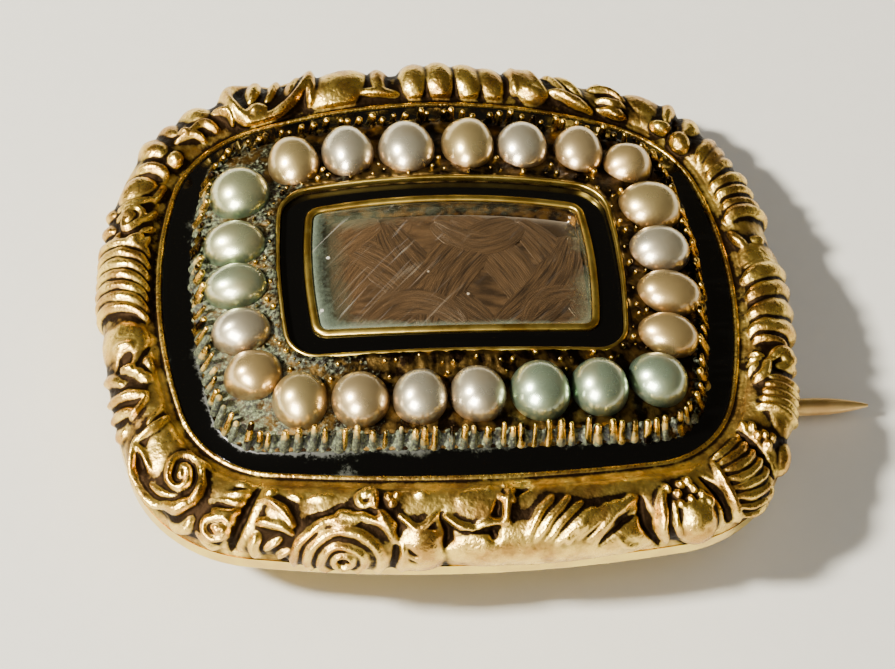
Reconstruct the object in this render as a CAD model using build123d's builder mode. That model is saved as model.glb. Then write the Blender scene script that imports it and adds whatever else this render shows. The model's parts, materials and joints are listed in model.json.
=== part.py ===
"""Locket brooch: a domed gold case with a chased border, two bands of black enamel,
a row of half pearls, and hair under glass, with a hinged pin on its back.

The pieces are shaped in the frame of the case. Its back is the plane z = 0, +X runs along
the length and +Z out of the face. They are then laid down as the brooch rests on a table,
on its hinge, its catch and the far edge of its back.
"""
import os
from collections import namedtuple
from math import atan2, cos, degrees, exp, hypot, pi, radians, sin, sqrt

from build123d import *

os.makedirs("parts", exist_ok=True)

# Gaps between pieces
seat_gap = 0.03          # between two pieces that stay put
knuckle_gap = 0.05       # between two knuckles, along the hinge
running_gap = 0.03       # round the rivet, inside the knuckle that turns
pin_gap = 0.06           # round the pin, inside its catch and beside the catch's mouth

# Case
case_length = 23.04
case_breadth = 19.84
case_long_bow = 47.0     # radius of each long side
case_end_bow = 24.0      # radius of each end
case_front_corner = 4.5
case_back_corner = 6.4
strip_height = 0.64      # plain strip under the border
floor_thickness = 0.34
tray_rim = 2.9
under_edge_round = 0.22

# Domed face
crown_height = 3.78
dome_radius = 28.5

# Chased border
border_end_width = 1.92
border_side_width = 2.08
panel_long_bow = 30.0
panel_end_bow = 17.6
panel_corner = 3.7
lip_width = 0.30
lip_proud = 0.05
crest_rise = 0.42        # how far the border swells above its lip
side_swell = 0.33        # how far it swells out past the plain strip
relief_height = 0.44
relief_floor = 0.42      # share of the relief's height that is cut below the plain swell
lip_fade = 0.08          # shares of the border's breadth over which the carving dies out
foot_fade = 0.07
ledge_width = 0.55
ledge_height = 1.05
relief_stations = 264    # steps of the carving round the border
relief_rows = 12         # steps of the carving across it

# Setting plate, its two cells of enamel, its pearl bed and its glazed well
plate_thickness = 0.60
plate_rim_width = 0.80
cell_depth = 0.25
outer_enamel_end = 1.02
outer_enamel_side = 0.90
collar_long_bow = 40.0
collar_end_bow = 22.0
collar_corner = 2.1
collar_width = 0.40
collar_height = 0.50
collar_slope = 0.75      # share of the collar's section that its outer slope takes
bed_height = 0.20
bed_end_width = 2.78
bed_side_width = 3.20
wire_long_bow = 80.6
wire_end_bow = 24.9
wire_corner = 1.23
wire_width = 0.14
wire_height = 0.28
inner_enamel_end = 0.79
inner_enamel_side = 0.72
bezel_long_bow = 55.9
bezel_end_bow = 18.5
bezel_corner = 0.56
bezel_width = 0.24
bezel_height = 0.13
glass_thickness = 0.50
glass_proud = 0.05
hair_thickness = 0.26
well_floor = 0.30

# Half pearls, on a line between the collar and the inner wire
pearl_end_inset = 1.46   # from the outside of the collar to the line of the pearls
pearl_side_inset = 1.69
pearl_line_long_bow = 60.0
pearl_line_end_bow = 22.0
pearl_line_corner = 1.6
pearl_spacing = 1.945    # from pearl to pearl, before it is evened out round the row
pearl_start = 0.37       # share of it from the middle of the right end to the first pearl
pearl_cut = 5            # degrees above its middle where a half pearl is cut
pearl_lift = 0.04        # from the bed to the foot of a half pearl

# Hinge, pin and catch
pin_line_y = -3.0
pin_depth = 0.95         # from the back to the middle of the pin
hinge_inset = 2.92       # from the end of the case to the axis of the hinge
hinge_radius = 0.58
hinge_length = 3.0
hinge_middle = 1.1       # length of the knuckle that turns
hinge_foot = 0.85        # width of the foot that the fixed knuckles stand on
rivet_radius = 0.24
rivet_head_radius = 0.40
rivet_head_height = 0.14
stem_root_radius = 0.36
stem_radius = 0.32
stem_end_radius = 0.30   # where the stem lies in the catch
stem_step_length = 0.6   # how far the stem takes to narrow before the catch
stem_point_length = 1.9
stem_overhang = 2.98     # how far the point reaches past the end of the case
stem_tip_radius = 0.05
catch_inset = 2.62       # from the end of the case to the middle of the catch
catch_width = 1.0
catch_wire = 0.22


# Cushion outlines: two long sides, two ends and four rounded corners
Outline = namedtuple("Outline", "length breadth long_bow end_bow front_corner back_corner")


def grown(outline, by):
    """The same outline, moved out by a distance all round."""
    return Outline(
        outline.length + 2 * by,
        outline.breadth + 2 * by,
        outline.long_bow + by,
        outline.end_bow + by,
        outline.front_corner + by,
        outline.back_corner + by,
    )


def inside(outline, end_width, side_width, long_bow, end_bow, corner):
    """An outline that leaves a band of two given widths inside another one."""
    length = outline.length - 2 * end_width
    breadth = outline.breadth - 2 * side_width
    return Outline(length, breadth, long_bow, end_bow, corner, corner)


def cushion(outline):
    """The outline as a face."""
    long_centre = outline.breadth / 2 - outline.long_bow
    end_centre = outline.length / 2 - outline.end_bow
    with BuildSketch() as face:
        with Locations((0, long_centre)):
            Circle(outline.long_bow)
        with Locations((0, -long_centre)):
            Circle(outline.long_bow, mode=Mode.INTERSECT)
        with Locations((end_centre, 0)):
            Circle(outline.end_bow, mode=Mode.INTERSECT)
        with Locations((-end_centre, 0)):
            Circle(outline.end_bow, mode=Mode.INTERSECT)
        fillet(face.vertices().group_by(Axis.Y)[-1], outline.back_corner)
        fillet(face.vertices().group_by(Axis.Y)[0], outline.front_corner)
    return face.sketch


def quarter_point(outline, station, corner):
    """A point of the quarter where x and y are positive, from station 0 at the middle of
    the end, through 1 and 2 at the ends of the corner, to 3 at the middle of the long side."""
    long_centre = outline.breadth / 2 - outline.long_bow
    end_centre = outline.length / 2 - outline.end_bow
    apart = hypot(end_centre, long_centre)
    long_reach = outline.long_bow - corner
    end_reach = outline.end_bow - corner
    share = (long_reach**2 - end_reach**2 + apart**2) / (2 * apart)
    rise = sqrt(long_reach**2 - share**2)
    along_x = end_centre / apart
    along_y = -long_centre / apart
    corner_x = share * along_x + rise * -along_y * (-1 if along_y > 0 else 1)
    corner_y = long_centre + share * along_y + rise * along_x * (-1 if along_y > 0 else 1)
    start = atan2(corner_y, corner_x - end_centre)
    finish = atan2(corner_y - long_centre, corner_x)
    if station < 1:
        angle = start * station
        return end_centre + outline.end_bow * cos(angle), outline.end_bow * sin(angle)
    if station < 2:
        angle = start + (finish - start) * (station - 1)
        return corner_x + corner * cos(angle), corner_y + corner * sin(angle)
    angle = finish + (pi / 2 - finish) * (station - 2)
    return outline.long_bow * cos(angle), long_centre + outline.long_bow * sin(angle)


def outline_point(outline, station):
    """A point of the whole outline, counter-clockwise from the middle of the right end.
    A quarter of the way round is three stations."""
    quarter, within = divmod(station % 12, 3)
    if quarter % 2:
        within = 3 - within
    corner = outline.back_corner if quarter < 2 else outline.front_corner
    x, y = quarter_point(outline, within, corner)
    return (x if quarter in (0, 3) else -x), (y if quarter < 2 else -y)


def middle_point(inner, outer, station):
    """The point halfway between two outlines at one station."""
    near = outline_point(inner, station)
    far = outline_point(outer, station)
    return (near[0] + far[0]) / 2, (near[1] + far[1]) / 2


def even_stations(inner, outer, shares):
    """The stations of the line midway between two outlines that lie at given shares of
    its length, and that length."""
    fine = 2400
    stations = [12 * step / fine for step in range(fine + 1)]
    points = [middle_point(inner, outer, station) for station in stations]
    run = [0.0]
    for here, there in zip(points, points[1:]):
        run.append(run[-1] + hypot(there[0] - here[0], there[1] - here[1]))
    found = []
    step = 0
    for share in shares:
        target = share * run[-1]
        while run[step + 1] < target:
            step += 1
        part = (target - run[step]) / (run[step + 1] - run[step])
        found.append(stations[step] + part * 12 / fine)
    return found, run[-1]


case_outline = Outline(
    case_length, case_breadth, case_long_bow, case_end_bow, case_front_corner, case_back_corner
)
panel_outline = inside(
    case_outline, border_end_width, border_side_width, panel_long_bow, panel_end_bow, panel_corner
)
collar_outline = inside(
    panel_outline, outer_enamel_end, outer_enamel_side, collar_long_bow, collar_end_bow, collar_corner
)
wire_outline = inside(
    collar_outline, bed_end_width, bed_side_width, wire_long_bow, wire_end_bow, wire_corner
)
bezel_outline = inside(
    grown(wire_outline, -wire_width),
    inner_enamel_end, inner_enamel_side, bezel_long_bow, bezel_end_bow, bezel_corner,
)
glass_outline = grown(bezel_outline, -bezel_width)
pearl_line = inside(
    collar_outline,
    pearl_end_inset, pearl_side_inset, pearl_line_long_bow, pearl_line_end_bow, pearl_line_corner,
)

dome_centre = crown_height - dome_radius
border_seat = strip_height + seat_gap
plate_seat = ledge_height + seat_gap
well_depth = glass_thickness + hair_thickness + 2 * seat_gap - glass_proud


hinge_x = hinge_inset - case_length / 2
catch_x = case_length / 2 - catch_inset
stem_tip_x = case_length / 2 + stem_overhang
stem_taper_x = stem_tip_x - stem_point_length
stem_step_x = catch_x - catch_width - stem_step_length
catch_bore = stem_end_radius + pin_gap

# How the brooch lies: on the hinge, the catch and the far edge of its back
catch_y = pin_line_y + stem_end_radius + pin_gap
support_depth = pin_depth + max(hinge_radius, catch_bore + catch_wire)
support_y = (pin_line_y + hinge_length / 2 + catch_y) / 2
lying_tilt = degrees(atan2(support_depth, case_breadth / 2 - support_y))
lying = Location((0, 0, 0), (-lying_tilt, 0, 0))


def hand_over(piece, label):
    """Lay a finished piece down with the rest of the brooch and write it."""
    placed = piece.moved(lying)
    placed.label = label
    export_step(placed, f"parts/{label}.step")


def domed_band(outer, inner, bottom, top, under=None):
    """The band between two outlines, or the whole of the outer one. It reaches a given
    height off the domed face, and starts at a level of its own or, where it is given, at
    another height off the face."""
    with BuildPart() as band:
        with BuildSketch(Plane.XY.offset(bottom)):
            add(cushion(outer))
            if inner:
                add(cushion(inner), mode=Mode.SUBTRACT)
        extrude(amount=crown_height + well_depth + collar_height - bottom)
        with Locations((0, 0, dome_centre)):
            Sphere(dome_radius + top, rotation=(90, 0, 0), mode=Mode.INTERSECT)
            if under is not None:
                Sphere(dome_radius + under, rotation=(90, 0, 0), mode=Mode.SUBTRACT)
    return band.part


# Chased motifs of the border. Place is a share of the way round it, counter-clockwise from
# the middle of the right end, and across is a share of the way from its lip to its foot.
# Width and height are shares of the border's breadth, turn is in degrees, and rise is a
# share of the relief's height.
Motif = namedtuple("Motif", "kind place across width height turn count rise")
motifs = [
    Motif("ribs", 0.983, 0.46, 1.02, 0.90, 8, 4, 1.0),
    Motif("dome", 0.016, 0.45, 0.26, 0.92, -6, 0, 0.8),
    Motif("volute", 0.028, 0.17, 0.30, 0.30, 0, 2, 0.9),
    Motif("volute", 0.030, 0.42, 0.26, 0.30, 90, 2, 0.8),
    Motif("leaf", 0.043, 0.56, 0.30, 0.84, 8, 5, 0.8),
    Motif("leaf", 0.058, 0.40, 0.26, 0.80, -6, 5, 0.9),
    Motif("leaf", 0.072, 0.46, 0.26, 0.84, -14, 5, 0.8),
    Motif("leaf", 0.089, 0.44, 0.40, 0.90, 6, 6, 0.7),
    Motif("shell", 0.104, 0.14, 0.34, 0.30, 150, 3, 1.1),
    Motif("dome", 0.121, 0.18, 0.30, 0.26, 20, 2, 1.0),
    Motif("dome", 0.118, 0.46, 0.15, 0.20, 0, 0, 1.2),
    Motif("leaf", 0.108, 0.66, 0.30, 0.66, 20, 4, 0.8),
    Motif("leaf", 0.133, 0.56, 0.26, 0.80, -10, 5, 0.8),
    Motif("ribs", 0.150, 0.16, 0.30, 0.30, 90, 3, 1.0),
    Motif("arch", 0.152, 0.55, 0.40, 0.60, 90, 0, 0.9),
    Motif("leaf", 0.175, 0.20, 0.24, 0.46, 62, 4, 1.1),
    Motif("leaf", 0.172, 0.62, 0.30, 0.66, 10, 4, 0.8),
    Motif("dome", 0.198, 0.44, 0.40, 0.84, 4, 3, 1.3),
    Motif("arch", 0.217, 0.20, 0.24, 0.30, 180, 0, 0.9),
    Motif("leaf", 0.218, 0.62, 0.22, 0.66, 0, 4, 0.8),
    Motif("shell", 0.246, 0.46, 0.78, 0.92, 0, 3, 1.3),
    Motif("dome", 0.268, 0.20, 0.16, 0.22, 0, 0, 1.0),
    Motif("dome", 0.293, 0.48, 0.62, 0.96, 0, 0, 0.9),
    Motif("arch", 0.339, 0.36, 0.80, 0.66, 0, 0, 1.2),
    Motif("shell", 0.339, 0.62, 0.66, 0.60, 180, 5, 0.9),
    Motif("dome", 0.341, 0.16, 0.20, 0.22, 0, 0, 1.3),
    Motif("volute", 0.379, 0.22, 0.42, 0.42, 30, 2, 1.1),
    Motif("leaf", 0.379, 0.68, 0.30, 0.60, -12, 4, 0.8),
    Motif("dome", 0.400, 0.19, 0.26, 0.30, 10, 0, 1.1),
    Motif("leaf", 0.402, 0.62, 0.30, 0.70, 12, 5, 0.8),
    Motif("dome", 0.424, 0.44, 0.38, 0.62, 20, 3, 1.0),
    Motif("leaf", 0.443, 0.40, 0.24, 0.76, 24, 5, 0.9),
    Motif("leaf", 0.455, 0.60, 0.22, 0.70, 16, 5, 0.8),
    Motif("volute", 0.463, 0.34, 0.24, 0.30, 0, 2, 1.0),
    Motif("ribs", 0.495, 0.48, 0.98, 0.96, -16, 5, 1.0),
    Motif("dome", 0.525, 0.50, 0.24, 0.94, -10, 0, 0.8),
    Motif("volute", 0.540, 0.30, 0.28, 0.30, 0, 2, 1.0),
    Motif("dome", 0.546, 0.62, 0.20, 0.34, -20, 0, 0.7),
    Motif("leaf", 0.558, 0.46, 0.26, 0.86, -20, 6, 0.9),
    Motif("leaf", 0.569, 0.56, 0.24, 0.84, -16, 6, 0.9),
    Motif("leaf", 0.579, 0.36, 0.20, 0.58, -8, 4, 0.9),
    Motif("arch", 0.598, 0.34, 0.94, 0.84, 180, 0, 1.3),
    Motif("volute", 0.608, 0.38, 0.44, 0.44, 0, 1, 1.3),
    Motif("arch", 0.609, 0.14, 0.34, 0.24, 0, 0, 1.0),
    Motif("leaf", 0.604, 0.84, 0.20, 0.62, 74, 5, 0.7),
    Motif("volute", 0.636, 0.34, 0.26, 0.26, 60, 2, 1.0),
    Motif("volute", 0.634, 0.64, 0.28, 0.32, -60, 2, 1.1),
    Motif("dome", 0.650, 0.20, 0.12, 0.14, 0, 0, 0.9),
    Motif("leaf", 0.657, 0.43, 0.26, 0.44, -52, 4, 1.1),
    Motif("leaf", 0.660, 0.72, 0.30, 0.44, 16, 4, 1.0),
    Motif("rose", 0.690, 0.74, 0.90, 0.96, 0, 2, 1.3),
    Motif("shell", 0.696, 0.20, 0.24, 0.24, 180, 3, 1.1),
    Motif("volute", 0.711, 0.20, 0.22, 0.24, 0, 2, 1.0),
    Motif("dome", 0.724, 0.36, 0.30, 0.26, 0, 0, 1.0),
    Motif("ribs", 0.723, 0.66, 0.26, 0.42, 90, 3, 0.8),
    Motif("groove", 0.737, 0.72, 0.12, 0.60, -14, 0, 0.9),
    Motif("dome", 0.753, 0.20, 0.56, 0.50, 0, 0, 0.7),
    Motif("arch", 0.753, 0.30, 0.74, 0.66, 180, 0, 1.3),
    Motif("volute", 0.764, 0.18, 0.24, 0.26, 0, 2, 1.1),
    Motif("groove", 0.756, 0.64, 0.86, 0.09, 0, 0, 0.8),
    Motif("dome", 0.772, 0.90, 0.98, 0.60, 8, 0, 0.7),
    Motif("leaf", 0.786, 0.40, 0.24, 0.60, -34, 5, 1.0),
    Motif("leaf", 0.797, 0.48, 0.24, 0.66, -46, 5, 1.1),
    Motif("leaf", 0.812, 0.42, 0.26, 0.74, -58, 6, 1.0),
    Motif("leaf", 0.818, 0.78, 0.22, 0.50, -40, 4, 0.8),
    Motif("arch", 0.849, 0.52, 0.66, 0.84, 150, 0, 1.1),
    Motif("leaf", 0.837, 0.62, 0.20, 0.60, 14, 4, 1.0),
    Motif("dome", 0.850, 0.64, 0.34, 0.34, 0, 0, 1.4),
    Motif("volute", 0.846, 0.32, 0.26, 0.24, 0, 2, 1.0),
    Motif("dome", 0.860, 0.34, 0.14, 0.18, -20, 0, 1.2),
    Motif("ribs", 0.884, 0.50, 0.94, 0.48, 96, 5, 1.1),
    Motif("volute", 0.906, 0.30, 0.20, 0.30, 0, 2, 0.9),
    Motif("dome", 0.905, 0.66, 0.18, 0.44, -16, 0, 0.6),
    Motif("dome", 0.930, 0.54, 0.54, 0.78, -24, 4, 1.3),
    Motif("ribs", 0.948, 0.20, 0.34, 0.36, 12, 4, 1.0),
    Motif("leaf", 0.955, 0.66, 0.22, 0.60, -10, 4, 0.8),
]

border_stations, border_run = even_stations(
    panel_outline, case_outline, [step / relief_stations for step in range(relief_stations)]
)


def motif_shape(motif, x, y):
    """How high a motif stands, from 0 to 1, at a point of its own box, which reaches from
    -1 to 1 each way."""
    away = hypot(x, y)
    angle = atan2(y, x)
    if motif.kind in ("dome", "groove"):
        return max(0, 1 - away**2)
    if motif.kind == "ribs":
        if abs(x) >= 1 or abs(y) >= 1:
            return 0
        return sin(pi * motif.count * (x + 1) / 2) ** 2 * (1 - y**4)
    if motif.kind == "leaf":
        half_width = 1 - y**2
        return max(0, 1 - (x / half_width) ** 2) if half_width > abs(x) else 0
    if motif.kind == "shell":
        reach = hypot(x, y + 1) / 2
        spread = atan2(x, y + 1)
        if reach >= 1 or abs(spread) > 1:
            return 0
        return sqrt(reach) * (1 - reach**4) * (0.6 + 0.4 * cos(motif.count * pi * spread))
    if motif.kind == "arch":
        ridge = (away - 0.72) / 0.28
        return max(0, 1 - ridge**2) if y > -0.3 else 0
    if away >= 1:
        return 0
    turn = angle / (2 * pi) if motif.kind == "volute" else 0
    return max(exp(-((away / 0.3) ** 2)), sin(pi * (motif.count * away - turn)) ** 2 * (1 - away**4))


def relief(place, across, breadth):
    """Height of the carving above the border's plain swell."""
    level = 0.0
    sunk = 0.0
    for motif in motifs:
        along = ((place - motif.place + 0.5) % 1 - 0.5) * border_run
        if abs(along) > breadth:
            continue
        over = (across - motif.across) * breadth
        turn = radians(motif.turn)
        x = (along * cos(turn) + over * sin(turn)) / (motif.width * breadth / 2)
        y = (over * cos(turn) - along * sin(turn)) / (motif.height * breadth / 2)
        height = motif.rise * motif_shape(motif, x, y)
        if motif.kind == "groove":
            sunk = max(sunk, height)
        else:
            level = max(level, height)
    near_lip = min(across / lip_fade, 1)
    near_foot = min((1 - across) / foot_fade, 1)
    return relief_height * (level - sunk - relief_floor) * near_lip * near_foot


def swell(width, lip_level):
    """The border's plain profile from its lip to its foot, as distances out from the panel
    and heights, evenly spaced along it, and its breadth."""
    drop = lip_level - border_seat
    pulls = [
        (lip_width, lip_level),
        (lip_width + 0.3 * (width - lip_width), lip_level + 2 * crest_rise),
        (width + 2.2 * side_swell, border_seat + 0.8 * drop + 0.1),
        (width, border_seat),
    ]
    fine = 40
    curve = []
    for step in range(fine + 1):
        t = step / fine
        weights = ((1 - t) ** 3, 3 * t * (1 - t) ** 2, 3 * t**2 * (1 - t), t**3)
        curve.append(tuple(sum(w * pull[axis] for w, pull in zip(weights, pulls)) for axis in (0, 1)))
    run = [0.0]
    for here, there in zip(curve, curve[1:]):
        run.append(run[-1] + hypot(there[0] - here[0], there[1] - here[1]))
    profile = []
    step = 0
    for row in range(relief_rows + 1):
        target = run[-1] * row / relief_rows
        while step < fine - 1 and run[step + 1] < target:
            step += 1
        part = (target - run[step]) / (run[step + 1] - run[step])
        profile.append(tuple(curve[step][i] + part * (curve[step + 1][i] - curve[step][i]) for i in (0, 1)))
    return profile, run[-1]


def border_section(place, station):
    """The points round the border's section at one station, as far out from the panel as
    they lie and as high."""
    near = outline_point(panel_outline, station)
    far = outline_point(case_outline, station)
    width = hypot(far[0] - near[0], far[1] - near[1])
    lip_level = crown_height + lip_proud - (near[0] ** 2 + near[1] ** 2) / (2 * dome_radius)
    profile, breadth = swell(width, lip_level)
    section = [
        (-ledge_width, border_seat),
        (-ledge_width, ledge_height),
        (0, ledge_height),
        (0, lip_level),
        profile[0],
    ]
    for row in range(1, relief_rows):
        before, here, after = profile[row - 1 : row + 2]
        lean = hypot(after[0] - before[0], after[1] - before[1])
        height = relief(place, row / relief_rows, breadth)
        out = here[0] - height * (after[1] - before[1]) / lean
        level = here[1] + height * (after[0] - before[0]) / lean
        section.append((out, level))
    section.append(profile[-1])
    out_x = (far[0] - near[0]) / width
    out_y = (far[1] - near[1]) / width
    return [Vector(near[0] + out * out_x, near[1] + out * out_y, level) for out, level in section]


def ring_solid(sections):
    """A closed ring with flat faces between each section and the next."""
    faces = []
    for here, there in zip(sections, sections[1:] + sections[:1]):
        for row in range(len(here)):
            following = (row + 1) % len(here)
            corners = [here[row], there[row], there[following], here[following]]
            normal = (corners[1] - corners[0]).cross(corners[2] - corners[0]).normalized()
            if abs((corners[3] - corners[0]).dot(normal)) < 1e-6:
                faces.append(Face(Wire.make_polygon(corners)))
            else:
                faces.append(Face(Wire.make_polygon(corners[:3])))
                faces.append(Face(Wire.make_polygon([corners[0], corners[2], corners[3]])))
    return Solid(Shell(faces))


border_sections = [
    border_section(step / relief_stations, station) for step, station in enumerate(border_stations)
]
border_ring = ring_solid(border_sections)
with BuildPart() as chased_border:
    add(border_ring)
hand_over(chased_border.part, "chased_border")


# Case back: a shallow tray, with the catch and the outer knuckles of the hinge soldered on
hinge_axis = Plane(origin=(hinge_x, pin_line_y, -pin_depth), x_dir=(1, 0, 0), z_dir=(0, 1, 0))
outer_knuckle = (hinge_length - hinge_middle) / 2 - knuckle_gap
knuckle_middle = (hinge_length - outer_knuckle) / 2
catch_plane = Plane(origin=(catch_x, catch_y, -pin_depth), x_dir=(0, 1, 0), z_dir=(1, 0, 0))
catch_reach = catch_bore + catch_wire
with BuildPart() as case_back:
    with BuildSketch():
        add(cushion(case_outline))
    extrude(amount=strip_height)
    fillet(case_back.faces().sort_by(Axis.Z)[0].edges(), under_edge_round)
    with BuildSketch(Plane.XY.offset(floor_thickness)):
        add(cushion(grown(case_outline, -tray_rim)))
    extrude(amount=strip_height, mode=Mode.SUBTRACT)
    for side in (-1, 1):
        with BuildSketch(hinge_axis.offset(side * knuckle_middle - outer_knuckle / 2)):
            Circle(hinge_radius)
            with Locations((0, -pin_depth / 2)):
                Rectangle(hinge_foot, pin_depth)
        extrude(amount=outer_knuckle)
        with BuildSketch(hinge_axis.offset(side * knuckle_middle - outer_knuckle / 2)):
            Circle(rivet_radius + seat_gap)
        extrude(amount=outer_knuckle, mode=Mode.SUBTRACT)
    with BuildSketch(catch_plane.offset(-catch_width / 2)):
        Circle(catch_reach)
        Circle(catch_bore, mode=Mode.SUBTRACT)
        with Locations((-catch_reach, 0)):
            Rectangle(2 * catch_reach, 3 * catch_reach, mode=Mode.SUBTRACT)
        with Locations((0, (catch_bore + pin_depth) / 2)):
            Rectangle(2 * catch_wire, pin_depth - catch_bore)
    extrude(amount=catch_width)
hand_over(case_back.part, "case_back")


# Setting plate: a thin domed plate with the collar, the pearl bed, the inner wire, the
# bezel and the well of the hair all soldered to it
plate_outline = grown(panel_outline, -seat_gap)
plate_hollow = domed_band(grown(plate_outline, -plate_rim_width), None, 0, -plate_thickness)
collar_inside = grown(collar_outline, -collar_width)
with BuildPart() as collar:
    add(domed_band(collar_outline, collar_inside, 0, collar_height, -cell_depth))
    rounds = collar.faces().filter_by(GeomType.SPHERE)
    collar_top = rounds.sort_by(Axis.Z)[-1]
    slope_width = collar_slope * collar_width
    slope_height = collar_slope * collar_height
    chamfer(collar_top.outer_wire().edges(), slope_width, slope_height, reference=collar_top)

with BuildPart() as setting_plate:
    add(domed_band(plate_outline, None, plate_seat, -cell_depth))
    add(domed_band(collar_outline, wire_outline, plate_seat, bed_height))
    add(domed_band(wire_outline, grown(wire_outline, -wire_width), plate_seat, wire_height))
    add(domed_band(bezel_outline, glass_outline, plate_seat, bezel_height))
    add(plate_hollow, mode=Mode.SUBTRACT)
    add(domed_band(bezel_outline, None, 0, -cell_depth, -well_depth - well_floor))
    add(domed_band(glass_outline, None, 0, crown_height, -well_depth), mode=Mode.SUBTRACT)
    add(collar.part)
hand_over(setting_plate.part, "setting_plate")


# Black enamel in its two cells
enamel_floor = seat_gap - cell_depth
with BuildPart() as outer_enamel:
    add(domed_band(plate_outline, grown(collar_outline, seat_gap), 0, 0, enamel_floor))
hand_over(outer_enamel.part, "outer_enamel")

with BuildPart() as inner_enamel:
    cell_outline = grown(wire_outline, -wire_width - seat_gap)
    add(domed_band(cell_outline, grown(bezel_outline, seat_gap), 0, 0, enamel_floor))
hand_over(inner_enamel.part, "inner_enamel")


# Glass over the hair
loose_glass = grown(glass_outline, -seat_gap)
with BuildPart() as glass_cover:
    add(domed_band(loose_glass, None, 0, glass_proud, glass_proud - glass_thickness))
hand_over(glass_cover.part, "glass_cover")

hair_top = glass_proud - glass_thickness - seat_gap
with BuildPart() as hair_panel:
    add(domed_band(loose_glass, None, 0, hair_top, hair_top - hair_thickness))
hand_over(hair_panel.part, "hair_panel")


# Half pearls, counter-clockwise from the middle of the right end. Size and the gap to the
# next one are shares of the spacing of the pearls. Out is how far one sits off their line,
# as a share of the room between it and the collar.
Pearl = namedtuple("Pearl", "size gap out")
pearls = [
    Pearl(0.94, 0.06, -0.12),
    Pearl(0.96, 0.10, 0.27),
    Pearl(0.89, 0.01, 0.48),
    Pearl(0.93, 0.07, 0.35),
    Pearl(0.91, 0.04, 0.28),
    Pearl(0.93, 0.12, 0.40),
    Pearl(1.00, 0.05, -0.18),
    Pearl(0.98, 0.02, -0.16),
    Pearl(0.96, 0.31, -0.42),
    Pearl(1.00, 0.23, -0.05),
    Pearl(0.89, 0.01, 0.41),
    Pearl(0.87, 0.04, 0.45),
    Pearl(0.90, 0.03, 0.27),
    Pearl(0.95, 0.09, -0.33),
    Pearl(0.93, 0.04, 0.21),
    Pearl(0.93, 0.04, 0.28),
    Pearl(0.91, 0.03, 0.19),
    Pearl(0.94, 0.04, 0.10),
    Pearl(1.00, 0.07, 0.00),
    Pearl(0.99, 0.10, -0.36),
    Pearl(0.98, 0.05, -0.11),
    Pearl(0.84, 0.03, 0.00),
    Pearl(0.87, 0.01, 0.40),
]
pearl_run = even_stations(pearl_line, pearl_line, [])[1]
pearl_count = round(pearl_run / pearl_spacing)
pearl_rows = [pearls[number % len(pearls)] for number in range(pearl_count)]
pearl_unit = pearl_run / sum(row.size + row.gap for row in pearl_rows)
pearl_places = [pearl_start * pearl_unit / pearl_run]
for row, following in zip(pearl_rows, pearl_rows[1:]):
    step = (row.size / 2 + row.gap + following.size / 2) * pearl_unit
    pearl_places.append(pearl_places[-1] + step / pearl_run)
pearl_stations = even_stations(pearl_line, pearl_line, pearl_places)[0]
pearl_base = dome_radius + bed_height + pearl_lift
for number, (row, station) in enumerate(zip(pearl_rows, pearl_stations), 1):
    radius = row.size * pearl_unit / 2
    x, y = outline_point(pearl_line, station)
    wall_x, wall_y = outline_point(collar_inside, station)
    across = hypot(wall_x - x, wall_y - y)
    out = row.out * (across - radius) / across
    x += out * (wall_x - x)
    y += out * (wall_y - y)
    level = dome_centre + sqrt(dome_radius**2 - x**2 - y**2)
    outward = Vector(x, y, level - dome_centre).normalized()
    seat = Vector(0, 0, dome_centre) + outward * pearl_base
    with BuildPart(Plane(origin=seat, z_dir=outward)) as pearl:
        Sphere(radius, pearl_cut, align=(Align.CENTER, Align.CENTER, Align.MIN))
    hand_over(pearl.part, f"pearl_{number:02d}")


# Rivet of the hinge
rivet_length = hinge_length + 2 * knuckle_gap
with BuildPart() as hinge_rivet:
    with BuildSketch(hinge_axis.offset(-rivet_length / 2)):
        Circle(rivet_radius)
    extrude(amount=rivet_length)
    for end in (-rivet_length / 2 - rivet_head_height, rivet_length / 2):
        with BuildSketch(hinge_axis.offset(end)):
            Circle(rivet_head_radius)
        extrude(amount=rivet_head_height)
    chamfer(hinge_rivet.edges().sort_by(Axis.Y)[0], rivet_head_height / 2)
    chamfer(hinge_rivet.edges().sort_by(Axis.Y)[-1], rivet_head_height / 2)
hand_over(hinge_rivet.part, "hinge_rivet")


# Pin: its stem and the knuckle that turns on the rivet
knuckle_wall = (rivet_radius + running_gap + hinge_radius) / 2
root_length = 3 * hinge_radius
stem_shoulder = (stem_taper_x - hinge_x, stem_end_radius)
stem_point = (stem_tip_x - hinge_x, stem_tip_radius)
stem_plane = Plane(origin=(hinge_x, pin_line_y, -pin_depth), x_dir=(1, 0, 0), z_dir=(0, -1, 0))
with BuildPart() as pin_stem:
    with BuildSketch(stem_plane):
        with BuildLine():
            Polyline(
                (knuckle_wall, 0),
                (knuckle_wall, stem_root_radius),
                (root_length / 2, stem_root_radius),
                (root_length, stem_radius),
                (stem_step_x - hinge_x, stem_radius),
                (stem_step_x + stem_step_length - hinge_x, stem_end_radius),
                stem_shoulder,
            )
            TangentArc(stem_shoulder, stem_point, tangent=(1, 0))
            Polyline(stem_point, (stem_tip_x - hinge_x, 0), (knuckle_wall, 0))
        make_face()
    revolve(axis=Axis((hinge_x, pin_line_y, -pin_depth), (1, 0, 0)))
    with BuildSketch(hinge_axis.offset(-hinge_middle / 2)):
        Circle(hinge_radius)
    extrude(amount=hinge_middle)
    with BuildSketch(hinge_axis.offset(-hinge_middle / 2)):
        Circle(rivet_radius + running_gap)
    extrude(amount=hinge_middle, mode=Mode.SUBTRACT)
hand_over(pin_stem.part, "pin_stem")
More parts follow.
